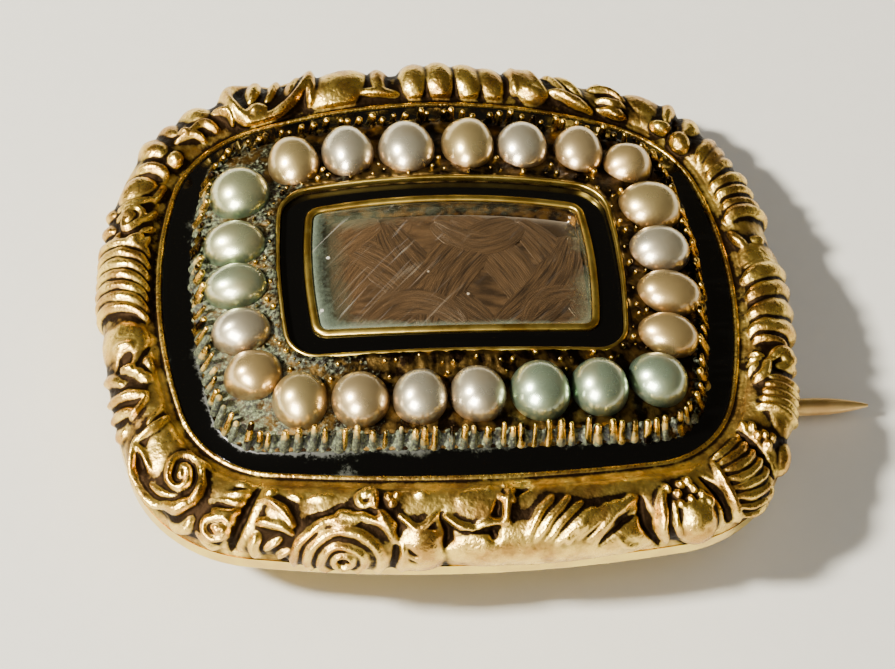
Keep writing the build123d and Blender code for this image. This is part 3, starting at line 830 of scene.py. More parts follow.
@dataclass(frozen=True)
class HairFinish:
    """Fine brown hair, laid flat: thin lines of light and dark that follow each lock, with a
    soft sheen across it."""

    name: str
    dark: str = "#1c130c"
    light: str = "#6c5a46"
    strand_mm: float = 0.1
    strand_depth_mm: float = 0.02
    drawn_out: float = 0.09

    def material(self) -> bpy.types.Material:
        """Build the material.

        Returns:
            The material.
        """
        made, tree, _ = blank_material(self.name)
        strand = add_node(tree, ATTRIBUTE, attribute_name="strand").outputs["Fac"]
        along = add_node(tree, ATTRIBUTE, attribute_name="along").outputs["Fac"]
        tone = add_node(tree, ATTRIBUTE, attribute_name="tone").outputs["Fac"]
        drawn_out = add_node(tree, MATH, {0: along, 1: self.drawn_out}, operation="MULTIPLY")
        place = add_node(tree, "ShaderNodeCombineXYZ", {0: strand, 1: drawn_out})
        fibres = add_node(tree, NOISE, {"Vector": place, "Scale": 1 / self.strand_mm, "Detail": 4.0})
        lines = add_node(tree, RANGE, {"Value": fibres, "From Min": 0.34, "From Max": 0.66, "To Max": 0.62})
        mixed = add_node(tree, MATH, {0: tone, 1: 0.7, 2: lines}, operation="MULTIPLY_ADD")
        mixed = add_node(tree, MATH, {0: mixed, 1: 0.2}, operation="SUBTRACT")
        colour = add_node(
            tree, MIX, {"Factor": mixed, "A": linear(self.dark), "B": linear(self.light)}, data_type="RGBA"
        )
        bump = add_node(tree, BUMP, {"Height": fibres, "Distance": self.strand_depth_mm * MM})
        looks = {"Base Color": colour, "Roughness": 0.45, "IOR": 1.55, "Sheen Weight": 0.2, "Normal": bump}
        shader = add_node(tree, PRINCIPLED, looks)
        add_node(tree, OUTPUT, {"Surface": shader})
        return made


@dataclass(frozen=True)
class FloorFinish:
    """Smooth white card: a matt pale grey with hardly any grain."""

    name: str = "matt_white_card"
    tone: str = "#d8d6cc"
    grain: str = "#d3d1c7"
    fibre_mm: float = 0.6

    def material(self) -> bpy.types.Material:
        """Build the material.

        Returns:
            The material.
        """
        made, tree, place = blank_material(self.name)
        fibres = add_node(tree, NOISE, {"Vector": place, "Scale": per_metre(self.fibre_mm), "Detail": 4.0})
        colour = add_node(
            tree, MIX, {"Factor": fibres, "A": linear(self.tone), "B": linear(self.grain)}, data_type="RGBA"
        )
        shader = add_node(tree, PRINCIPLED, {"Base Color": colour, "Roughness": 0.7})
        add_node(tree, OUTPUT, {"Surface": shader})
        return made


class CutKind(Enum):
    """Marks that the chaser's punches and gravers leave on the border."""

    RIDGE = "ridge"
    GROOVE = "groove"
    BOSS = "boss"
    HOLLOW = "hollow"
    RING = "ring"
    SCROLL = "scroll"


class Cut(NamedTuple):
    """One mark on the border, in millimetres along it, counter-clockwise from the middle of
    the right end, and across it, from its lip to its foot.

    A ridge or groove runs from its first point to its second and bows to its left. A boss
    or hollow has its middle at the first point and half its length to the second. A ring or
    scroll has its middle at the first point and its outer end at the second. A scroll with
    turns below 0 winds the other way.
    """

    kind: CutKind
    along: float
    across: float
    to_along: float
    to_across: float
    wide: float
    high: float
    bow: float = 0.0
    turns: float = 1.0


def rough_lattice(
    along: np.ndarray, across: np.ndarray, cell: float, period: float, seed: int
) -> np.ndarray:
    """Smooth random heights from -1 to 1, which repeat after a period along.

    Args:
        along: places along, in millimetres.
        across: places across, in millimetres.
        cell: size of one bump.
        period: length after which the heights repeat.
        seed: which random heights.

    Returns:
        A height for each place.
    """
    cells = max(1, round(period / cell))
    deck = np.random.default_rng(seed).uniform(-1, 1, (cells, LATTICE_LINES))
    here = along / period * cells
    there = across / cell
    column = np.floor(here).astype(int)
    line = np.floor(there).astype(int)
    ease_along = here - column
    ease_across = there - line
    ease_along = ease_along**2 * (3 - 2 * ease_along)
    ease_across = ease_across**2 * (3 - 2 * ease_across)
    corners = [deck[(column + i) % cells, (line + j) % LATTICE_LINES] for i in (0, 1) for j in (0, 1)]
    near = corners[0] * (1 - ease_across) + corners[1] * ease_across
    far = corners[2] * (1 - ease_across) + corners[3] * ease_across
    return near * (1 - ease_along) + far * ease_along


class Chasing:
    """A height field that marks are cut into, spread over the border."""

    def __init__(self, run: float, breadth: float, steps: int, rows: int) -> None:
        """Start from a plain field.

        Args:
            run: length of the border, in millimetres.
            breadth: breadth that the marks are given for.
            steps: steps along the border.
            rows: steps across it.
        """
        self.run = run
        along = np.arange(steps) / steps * run
        across = np.arange(rows + 1) / rows * breadth
        self.along, self.across = np.meshgrid(along, across, indexing="ij")
        self.height = np.zeros_like(self.along)

    def offsets(self, along: float, across: float) -> tuple[np.ndarray, np.ndarray]:
        """How far each place of the field lies from a point, the short way round."""
        apart = np.mod(self.along - along + self.run / 2, self.run) - self.run / 2
        return apart, self.across - across

    def cut(self, mark: Cut) -> None:
        """Cut one mark into the field.

        Args:
            mark: the mark, which is raised to its height or sunk by it.
        """
        x, y = self.offsets(mark.along, mark.across)
        reach_x = mark.to_along - mark.along
        reach_y = mark.to_across - mark.across
        reach = math.hypot(reach_x, reach_y)
        forward = (x * reach_x + y * reach_y) / reach
        sideways = (y * reach_x - x * reach_y) / reach
        away = np.hypot(x, y)
        if mark.kind in (CutKind.RIDGE, CutKind.GROOVE):
            shape = self.stroke(mark, reach, forward / reach, sideways)
        elif mark.kind in (CutKind.BOSS, CutKind.HOLLOW):
            shape = np.sqrt(np.clip(1 - (forward / reach) ** 2 - (sideways / mark.wide) ** 2, 0, 1))
        elif mark.kind is CutKind.RING:
            shape = np.clip(1 - ((away - reach) / mark.wide) ** 2, 0, 1)
        else:
            shape = self.scroll(mark, reach, away, np.arctan2(sideways, forward))
        near = np.abs(x) < 2 * reach + 4 * mark.wide + 1
        shape = np.where(near, shape, 0)
        if mark.kind in (CutKind.GROOVE, CutKind.HOLLOW):
            self.height -= mark.high * shape
        else:
            self.height = np.maximum(self.height, np.where(shape > 0, mark.high * shape, NO_MARK))

    @staticmethod
    def stroke(mark: Cut, reach: float, share: np.ndarray, sideways: np.ndarray) -> np.ndarray:
        """A bowed stroke, about half as wide and two thirds as high at its ends as in its middle.

        Args:
            mark: the ridge or groove.
            reach: its length.
            share: how far along it each place lies, with its ends at 0 and 1.
            sideways: how far to its left each place lies.

        Returns:
            The stroke's height at each place, as a share of its full one.
        """
        held = np.clip(share, 0, 1)
        middle = mark.bow * 4 * held * (1 - held)
        fullness = np.sqrt(np.clip(4 * (held * 0.96 + 0.02) * (1 - held * 0.96 - 0.02), 0, 1))
        width = mark.wide * (0.35 + 0.65 * fullness)
        past = np.maximum(-share, share - 1).clip(0) * reach
        off = np.hypot(sideways - middle, past) / width
        return np.clip(1 - off**2, 0, 1) * (0.5 + 0.5 * fullness)

    @staticmethod
    def scroll(mark: Cut, reach: float, away: np.ndarray, angle: np.ndarray) -> np.ndarray:
        """A ridge that winds in to a small boss.

        Args:
            mark: the scroll.
            reach: how far its outer end is from its middle.
            away: how far from its middle each place lies.
            angle: the direction of each place from its middle, off that of its outer end.

        Returns:
            The scroll's height at each place, as a share of its full one.
        """
        turns = abs(mark.turns)
        turned = np.mod(math.copysign(1, mark.turns) * angle, 2 * math.pi) / (2 * math.pi)
        level = np.clip(1 - (away / (1.4 * mark.wide)) ** 2, 0, 1)
        for winding in range(math.ceil(turns) + 1):
            wound = turned + winding
            radius = reach * (1 - wound / (turns + 0.35))
            ridge = np.clip(1 - ((away - radius) / mark.wide) ** 2, 0, 1)
            level = np.maximum(level, np.where((wound < turns) & (radius > 0), ridge, 0))
        return level

    def soften(self) -> None:
        """Round the sharpest edges off, as wear does."""
        along = (np.roll(self.height, 1, 0) + 2 * self.height + np.roll(self.height, -1, 0)) / 4
        inner = (along[:, :-2] + 2 * along[:, 1:-1] + along[:, 2:]) / 4
        self.height = np.concatenate((along[:, :1], inner, along[:, -1:]), axis=1)

    def blurred(self, times: int) -> np.ndarray:
        """The field's broad forms alone.

        Args:
            times: how often each place takes the mean of its neighbours.

        Returns:
            The blurred heights.
        """
        level = self.height.copy()
        for _ in range(times):
            level = (np.roll(level, 1, 0) + level + np.roll(level, -1, 0)) / 3
            padded = np.pad(level, ((0, 0), (1, 1)), mode="edge")
            level = (padded[:, :-2] + padded[:, 1:-1] + padded[:, 2:]) / 3
        return level

    def hollows(self) -> np.ndarray:
        """How dark each place is painted, 0 to 1: grime and painted shade, more where it lies deep or low.
        """
        deep = self.blurred(24) - self.height
        return np.clip(0.38 + 7.0 * deep - 0.5 * self.height, 0, 1)


ridge, groove, boss, hollow, ring, scroll = (partial(Cut, kind) for kind in CutKind)


def right_end_marks() -> list[Cut]:
    """The marks of the right end, from its gadroons to the far right corner."""
    marks = []
    # Four gadroons at the right end
    for number in range(4):
        at = 64.1 + 0.77 * number
        marks.append(ridge(at, 0.3, at + 0.85, 3.25, 0.37, 0.34, -0.12))
    # Plain band with two lumps, above the gadroons
    marks += [
        boss(1.1, 1.7, 1.3, 3.3, 0.55, 0.16),
        boss(1.8, 0.38, 2.25, 0.1, 0.2, 0.34),
        boss(1.85, 1.3, 2.0, 1.65, 0.16, 0.3),
        ridge(0.55, 0.4, 1.2, 3.2, 0.14, 0.2, -0.1),
        # Wide arch and the leaf strokes beyond it
        ridge(2.75, 0.25, 3.3, 3.1, 0.26, 0.34, -0.25),
        ridge(3.25, 0.35, 3.9, 2.9, 0.2, 0.26, -0.15),
        ridge(3.75, 0.3, 4.5, 2.6, 0.2, 0.3, -0.15),
        ridge(4.25, 0.3, 5.1, 2.9, 0.22, 0.28, -0.15),
        ridge(4.85, 0.4, 5.6, 2.2, 0.2, 0.22, -0.1),
        ridge(5.3, 0.5, 6.1, 2.4, 0.24, 0.2, -0.1),
        ridge(5.8, 0.4, 6.5, 2.6, 0.22, 0.22, -0.1),
        # Double bud at the far right corner
        boss(6.9, 0.45, 7.35, 0.75, 0.34, 0.42),
        boss(7.9, 0.55, 8.35, 0.35, 0.28, 0.4),
        ridge(7.0, 1.0, 7.5, 2.6, 0.3, 0.3, 0.1),
        ridge(7.9, 1.1, 8.1, 3.0, 0.24, 0.38),
        groove(7.4, 0.2, 7.6, 1.4, 0.1, 0.2),
    ]
    return marks


def far_side_marks() -> list[Cut]:
    """The marks of the far side."""
    marks = [
        # Square block with bars
        boss(8.8, 1.9, 8.8, 3.0, 0.5, 0.2),
        ridge(9.55, 0.35, 10.55, 0.3, 0.22, 0.44),
        ridge(9.55, 0.75, 10.5, 0.72, 0.2, 0.4),
        ridge(9.5, 1.2, 10.5, 1.5, 0.22, 0.36, 0.15),
        ridge(10.1, 1.6, 10.2, 3.1, 0.2, 0.28),
        # Leaf, and an oval bud between two lens-shaped ridges
        ridge(11.05, 0.2, 12.2, 0.65, 0.28, 0.44, 0.05),
        ridge(11.2, 0.9, 11.9, 2.9, 0.3, 0.3, 0.1),
        ridge(11.75, 0.7, 12.1, 3.1, 0.22, 0.3),
        boss(13.05, 1.4, 13.1, 3.0, 0.6, 0.36),
        ridge(12.5, 0.5, 12.6, 3.1, 0.22, 0.42, -0.14),
        ridge(13.55, 0.4, 13.4, 3.1, 0.22, 0.42, 0.14),
        boss(12.9, 0.5, 13.4, 0.42, 0.22, 0.42),
    ]
    # Lobed shell
    for at, high in ((14.35, 0.3), (15.2, 0.4), (16.15, 0.46), (17.05, 0.4)):
        marks.append(boss(at, 1.4, at, 3.1, 0.46, high))
    # Small leaf, plain dome and saddle
    marks += [
        ridge(17.7, 0.2, 18.9, 0.35, 0.16, 0.34, 0.08),
        ridge(18.3, 0.4, 18.5, 2.8, 0.3, 0.3),
        boss(19.75, 1.3, 19.75, 3.2, 0.85, 0.38),
        ridge(19.0, 0.35, 19.9, 0.15, 0.12, 0.22, 0.1),
        # Cup shell with a bright bead
        ring(22.3, 1.5, 22.3, 0.1, 0.24, 0.6),
        boss(22.55, 0.45, 23.05, 0.55, 0.26, 0.62),
        ridge(22.85, 1.1, 22.85, 3.0, 0.26, 0.5),
        ridge(22.2, 0.9, 22.15, 2.8, 0.22, 0.4),
        ridge(21.5, 0.8, 21.4, 2.8, 0.26, 0.4),
        ridge(20.6, 0.3, 20.9, 2.6, 0.2, 0.5, -0.1),
        ridge(23.6, 0.3, 24.25, 1.2, 0.15, 0.5, 0.1),
    ]
    return marks


def left_end_marks() -> list[Cut]:
    """The marks of the far left corner and the left end."""
    marks = [
        # Leaf curls and beads at the far left corner
        ridge(24.3, 0.3, 25.5, 0.9, 0.2, 0.36, 0.3),
        ridge(25.0, 0.2, 25.9, 0.95, 0.16, 0.36, 0.2),
        boss(25.5, 1.05, 25.65, 1.25, 0.14, 0.4),
        boss(26.65, 0.4, 26.7, 0.75, 0.36, 0.46),
        ridge(24.6, 1.2, 24.9, 3.0, 0.4, 0.3),
        ridge(25.7, 1.4, 25.6, 3.0, 0.3, 0.26),
        ridge(26.6, 1.1, 26.3, 3.1, 0.36, 0.3),
        boss(28.35, 1.3, 28.5, 2.1, 0.5, 0.36),
        ridge(27.5, 0.3, 27.4, 1.7, 0.22, 0.3, 0.15),
        groove(27.8, 0.4, 27.7, 2.4, 0.12, 0.2),
        # Leaf strokes and curls down the left end
        ridge(28.1, 0.2, 28.9, 0.45, 0.18, 0.3),
        ridge(28.85, 0.5, 29.0, 1.9, 0.14, 0.32, -0.1),
        ridge(29.2, 1.0, 29.5, 1.8, 0.14, 0.34, -0.1),
        scroll(29.75, 1.2, 29.35, 1.6, 0.13, 0.34, turns=1.3),
        ridge(29.4, 0.2, 29.9, 0.75, 0.14, 0.28),
        ridge(30.15, 0.15, 30.4, 0.7, 0.14, 0.28),
        boss(30.75, 0.85, 30.9, 1.2, 0.22, 0.44),
        ridge(30.6, 0.25, 31.3, 0.6, 0.14, 0.3),
        ridge(30.2, 1.6, 30.9, 1.3, 0.14, 0.3, 0.1),
        ridge(29.0, 2.2, 28.6, 3.1, 0.3, 0.3),
        ridge(29.9, 2.0, 29.4, 3.1, 0.3, 0.3),
        ridge(30.8, 1.7, 30.2, 3.1, 0.26, 0.3),
    ]
    # Rope of slanting ridges
    for number in range(7):
        at = 31.25 + 0.46 * number
        marks.append(ridge(at + 0.1, 0.2, at - 0.5, 3.2, 0.23, 0.34, 0.35))
    marks.append(groove(34.2, 0.3, 33.6, 3.2, 0.1, 0.24, 0.3))
    # Plain stretch, rough lumps and slanting leaf strokes
    marks += [
        boss(34.7, 1.5, 34.4, 3.1, 0.5, 0.14),
        ridge(35.1, 0.9, 34.95, 1.75, 0.16, 0.3),
        hollow(35.5, 1.5, 35.75, 1.9, 0.24, 0.2),
        boss(35.85, 1.35, 35.7, 1.7, 0.13, 0.3),
        boss(36.15, 1.05, 35.95, 1.4, 0.12, 0.26),
        boss(36.5, 0.75, 36.25, 1.1, 0.14, 0.24),
        boss(36.0, 0.45, 36.35, 0.3, 0.14, 0.2),
        ridge(37.15, 0.9, 36.3, 2.9, 0.17, 0.36, 0.12),
        ridge(37.45, 1.4, 36.7, 3.2, 0.16, 0.28, 0.1),
        ridge(36.2, 1.7, 35.3, 3.3, 0.18, 0.24, 0.1),
        ridge(37.3, 0.9, 37.45, 1.75, 0.12, 0.32),
        ridge(37.9, 0.35, 38.1, 1.2, 0.12, 0.2),
        ridge(37.6, 2.3, 37.2, 3.3, 0.2, 0.22),
        groove(35.3, 0.2, 35.9, 1.0, 0.14, 0.12),
    ]
    return marks


def near_left_marks() -> list[Cut]:
    """The marks of the near left corner and the near side, as far as the rose."""
    return [
        # Large scroll at the near left corner
        boss(39.2, 1.0, 39.2, 2.0, 0.7, 0.1),
        ridge(38.45, 0.35, 38.25, 1.9, 0.14, 0.4, -0.04),
        ridge(38.2, 1.85, 39.2, 2.65, 0.19, 0.44, 0.12),
        ridge(39.1, 2.65, 40.3, 2.5, 0.19, 0.42, 0.1),
        ridge(40.2, 2.5, 41.15, 1.65, 0.18, 0.42, 0.12),
        ridge(41.05, 1.8, 40.95, 0.75, 0.16, 0.4, 0.14),
        scroll(40.35, 1.22, 40.95, 0.85, 0.13, 0.42, turns=-1.35),
        ridge(39.95, 0.45, 41.0, 0.42, 0.16, 0.34, 0.1),
        ridge(38.3, 1.95, 39.3, 1.9, 0.14, 0.3, -0.06),
        hollow(38.85, 2.1, 39.3, 2.2, 0.16, 0.16),
        ridge(39.6, 2.2, 40.7, 1.75, 0.1, 0.26, 0.12),
        ridge(40.7, 3.1, 41.3, 2.3, 0.22, 0.3, 0.15),
        hollow(40.0, 3.1, 40.5, 2.9, 0.28, 0.18),
        ridge(38.3, 3.3, 39.2, 3.2, 0.2, 0.2),
        # Three lobes and a curled flower
        ridge(41.95, 1.05, 42.65, 0.85, 0.12, 0.32, 0.04),
        ridge(41.9, 1.32, 42.65, 1.15, 0.1, 0.28, 0.04),
        ridge(41.8, 1.72, 42.6, 1.5, 0.12, 0.34, 0.06),
        scroll(42.12, 2.25, 42.5, 1.95, 0.12, 0.42, turns=-1.4),
        ridge(41.6, 2.6, 42.1, 3.2, 0.2, 0.3, -0.1),
        groove(42.85, 0.5, 42.55, 3.3, 0.15, 0.3),
        boss(42.3, 0.45, 42.6, 0.4, 0.18, 0.18),
        # Curved leaf with veins
        ridge(43.15, 0.98, 44.3, 1.75, 0.15, 0.42, -0.12),
        ridge(43.2, 1.75, 44.3, 2.0, 0.16, 0.42, -0.1),
        boss(43.75, 1.5, 44.2, 1.72, 0.22, 0.24),
        boss(43.3, 0.7, 43.5, 0.65, 0.14, 0.3),
        ridge(43.9, 0.75, 44.3, 0.85, 0.1, 0.22),
        ridge(43.25, 2.15, 43.35, 3.3, 0.16, 0.32, 0.05),
        ridge(43.95, 2.25, 43.6, 2.75, 0.11, 0.34),
        ridge(44.25, 2.55, 43.95, 3.15, 0.11, 0.34),
        ridge(44.55, 2.3, 44.5, 3.3, 0.14, 0.26),
        groove(44.75, 1.6, 44.75, 3.2, 0.09, 0.2),
        # Rose of rings, open at the border's foot
        boss(46.0, 2.9, 46.0, 1.2, 1.55, 0.3),
        groove(44.85, 3.4, 44.95, 1.6, 0.1, 0.2),
        ring(45.95, 2.85, 45.95, 1.75, 0.17, 0.5),
        ring(45.9, 2.85, 45.9, 2.2, 0.14, 0.54),
        ring(45.9, 2.8, 45.9, 2.55, 0.1, 0.6),
        hollow(45.92, 2.8, 45.92, 2.98, 0.16, 0.22),
        ring(46.05, 2.95, 46.05, 1.32, 0.13, 0.42),
        ridge(45.3, 1.55, 46.3, 1.35, 0.1, 0.46, 0.1),
        ridge(45.5, 1.22, 45.95, 1.2, 0.1, 0.42, 0.04),
        groove(44.7, 1.45, 45.6, 0.98, 0.1, 0.16, 0.1),
        # Bead flowers above the rose, and a bright lump
        boss(46.3, 0.65, 46.5, 0.62, 0.17, 0.36),
        ring(46.35, 0.75, 46.55, 0.55, 0.1, 0.3),
        boss(46.62, 0.85, 46.72, 1.15, 0.13, 0.44),
        ridge(46.85, 1.2, 47.3, 1.7, 0.2, 0.46, 0.05),
        boss(47.0, 0.65, 47.1, 0.65, 0.12, 0.32),
        boss(47.3, 0.62, 47.42, 0.62, 0.11, 0.32),
        boss(47.15, 0.92, 47.28, 0.92, 0.12, 0.3),
        boss(44.9, 0.8, 45.3, 0.7, 0.12, 0.2),
    ]


def near_right_marks() -> list[Cut]:
    """The marks of the near side beyond the rose, and of the near right corner."""
    marks = [
        # Arch over a block with two strokes
        ridge(47.45, 1.3, 48.55, 1.25, 0.13, 0.42, 0.35),
        boss(48.05, 2.6, 48.1, 1.5, 0.62, 0.36),
        boss(48.05, 3.1, 48.1, 2.0, 0.72, 0.34),
        groove(47.65, 1.62, 48.5, 1.62, 0.07, 0.14),
        groove(47.7, 2.25, 48.1, 2.5, 0.07, 0.2, 0.04),
        groove(47.75, 2.6, 48.1, 2.85, 0.06, 0.18, 0.04),
        boss(48.1, 0.5, 48.35, 0.5, 0.14, 0.2),
        groove(48.75, 1.2, 49.15, 3.3, 0.13, 0.34, -0.05),
        groove(47.45, 1.7, 47.4, 3.2, 0.1, 0.2),
        # Plain swelling field, and the shield rim that hangs over it
        boss(52.0, 3.0, 55.3, 3.1, 1.25, 0.26),
        boss(50.3, 2.9, 49.2, 2.9, 0.95, 0.26),
        boss(51.5, 2.75, 53.6, 2.75, 0.9, 0.27),
        boss(50.0, 0.85, 49.1, 0.85, 0.6, 0.12),
        groove(49.0, 1.65, 50.4, 2.05, 0.16, 0.24, -0.12),
        groove(50.3, 2.1, 51.5, 0.3, 0.2, 0.32, -0.34),
        ridge(48.85, 1.28, 49.9, 1.72, 0.12, 0.42, 0.1),
        ridge(49.75, 1.7, 50.75, 1.55, 0.13, 0.42, -0.1),
        ridge(50.65, 1.6, 51.05, 0.45, 0.13, 0.4, -0.12),
        boss(50.75, 0.25, 50.85, 0.28, 0.11, 0.34),
        boss(50.85, 0.55, 50.97, 0.56, 0.12, 0.38),
        boss(50.6, 0.82, 50.7, 0.84, 0.12, 0.34),
        boss(50.95, 0.85, 51.05, 0.86, 0.11, 0.34),
        boss(50.2, 0.45, 50.32, 0.46, 0.12, 0.24),
    ]
    # Acanthus fronds
    for foot, tip, high in (
        ((51.3, 2.1), (52.2, 0.85), 0.36),
        ((51.55, 2.15), (52.75, 0.95), 0.42),
        ((51.8, 2.25), (53.1, 1.15), 0.36),
        ((52.1, 2.35), (53.45, 1.35), 0.46),
        ((52.4, 2.35), (53.9, 1.3), 0.38),
        ((52.7, 2.3), (54.3, 1.25), 0.4),
        ((53.1, 2.35), (54.75, 1.15), 0.42),
    ):
        marks.append(ridge(*foot, *tip, 0.13, high, -0.12))
    marks += [
        ridge(53.3, 2.5, 54.95, 1.2, 0.12, 0.36, -0.22),
        boss(52.45, 2.15, 52.6, 2.2, 0.13, 0.46),
        boss(52.9, 1.75, 53.2, 1.6, 0.18, 0.48),
        groove(53.4, 2.55, 54.9, 1.75, 0.09, 0.2, -0.12),
        ridge(54.0, 2.35, 54.8, 2.9, 0.12, 0.34, 0.1),
        groove(55.0, 1.2, 55.45, 3.3, 0.16, 0.34, 0.16),
        ridge(51.75, 1.2, 52.2, 0.95, 0.1, 0.3),
        # Rosette: two leaves, a round boss and a cluster of beads
        ridge(55.8, 1.1, 55.55, 2.95, 0.19, 0.44, 0.22),
        ridge(56.05, 1.45, 56.05, 2.8, 0.12, 0.4, 0.16),
        boss(56.6, 2.3, 57.2, 2.3, 0.66, 0.5),
        boss(56.55, 2.75, 57.1, 2.75, 0.45, 0.4),
        hollow(56.75, 2.45, 56.9, 2.6, 0.12, 0.1),
        boss(57.1, 1.75, 57.3, 1.75, 0.2, 0.5),
        groove(57.35, 0.85, 57.65, 3.0, 0.13, 0.34, -0.1),
    ]
    beads = ((56.0, 1.0), (56.25, 1.25), (56.5, 0.95), (56.55, 1.5), (56.8, 1.2), (57.0, 1.45),
             (56.2, 1.6), (56.75, 0.9), (56.85, 1.65))
    for at, over in beads:
        marks.append(boss(at, over, at + 0.12, over + 0.03, 0.13, 0.42))
    # Shell fan of eight ribs
    for number, over in enumerate((0.5, 0.82, 1.12, 1.42, 1.72, 2.02, 2.35, 2.7)):
        tilt = 0.04 + 0.09 * number
        marks.append(ridge(58.15 - 0.02 * number, over, 59.55, over + tilt, 0.15, 0.4, 0.08))
    marks.append(ridge(58.0, 0.6, 57.95, 3.1, 0.14, 0.3, 0.1))
    marks.append(groove(59.75, 0.4, 59.75, 3.2, 0.14, 0.3, 0.1))
    # Small beads, then a ribbed bud beside the pin
    for at, over in ((60.0, 0.5), (60.2, 0.8), (60.05, 1.15), (60.3, 1.35), (60.1, 1.65), (60.45, 1.7)):
        marks.append(boss(at, over, at + 0.14, over + 0.06, 0.13, 0.34))
    marks += [
        boss(60.5, 2.8, 61.0, 2.9, 0.5, 0.3),
        boss(61.9, 1.9, 62.3, 2.9, 0.85, 0.26),
    ]
    for number in range(5):
        at = 61.1 + 0.3 * number
        marks.append(ridge(at, 0.85 + 0.06 * number, at + 0.75, 3.1, 0.15, 0.46, -0.1))
    # Finger leaf and arch below the gadroons
    marks += [
        ridge(62.0, 0.6, 63.1, 1.05, 0.18, 0.42, 0.1),
        ridge(62.2, 0.25, 62.7, 0.65, 0.11, 0.32),
        ridge(62.6, 0.2, 62.95, 0.75, 0.1, 0.32),
        ridge(63.0, 0.2, 63.15, 0.8, 0.1, 0.32),
        ridge(63.2, 1.1, 63.95, 2.1, 0.2, 0.42, -0.12),
        boss(63.6, 1.9, 63.9, 2.3, 0.2, 0.46),
        ridge(63.0, 1.4, 63.7, 3.1, 0.2, 0.3, -0.1),
        ridge(63.75, 0.4, 64.05, 1.8, 0.14, 0.34, -0.1),
        groove(63.9, 0.3, 64.5, 3.1, 0.12, 0.26, -0.12),
    ]
    return marks


def chased_marks() -> list[Cut]:
    """All marks of the border, counter-clockwise from its right end."""
    return right_end_marks() + far_side_marks() + left_end_marks() + near_left_marks() + near_right_marks()


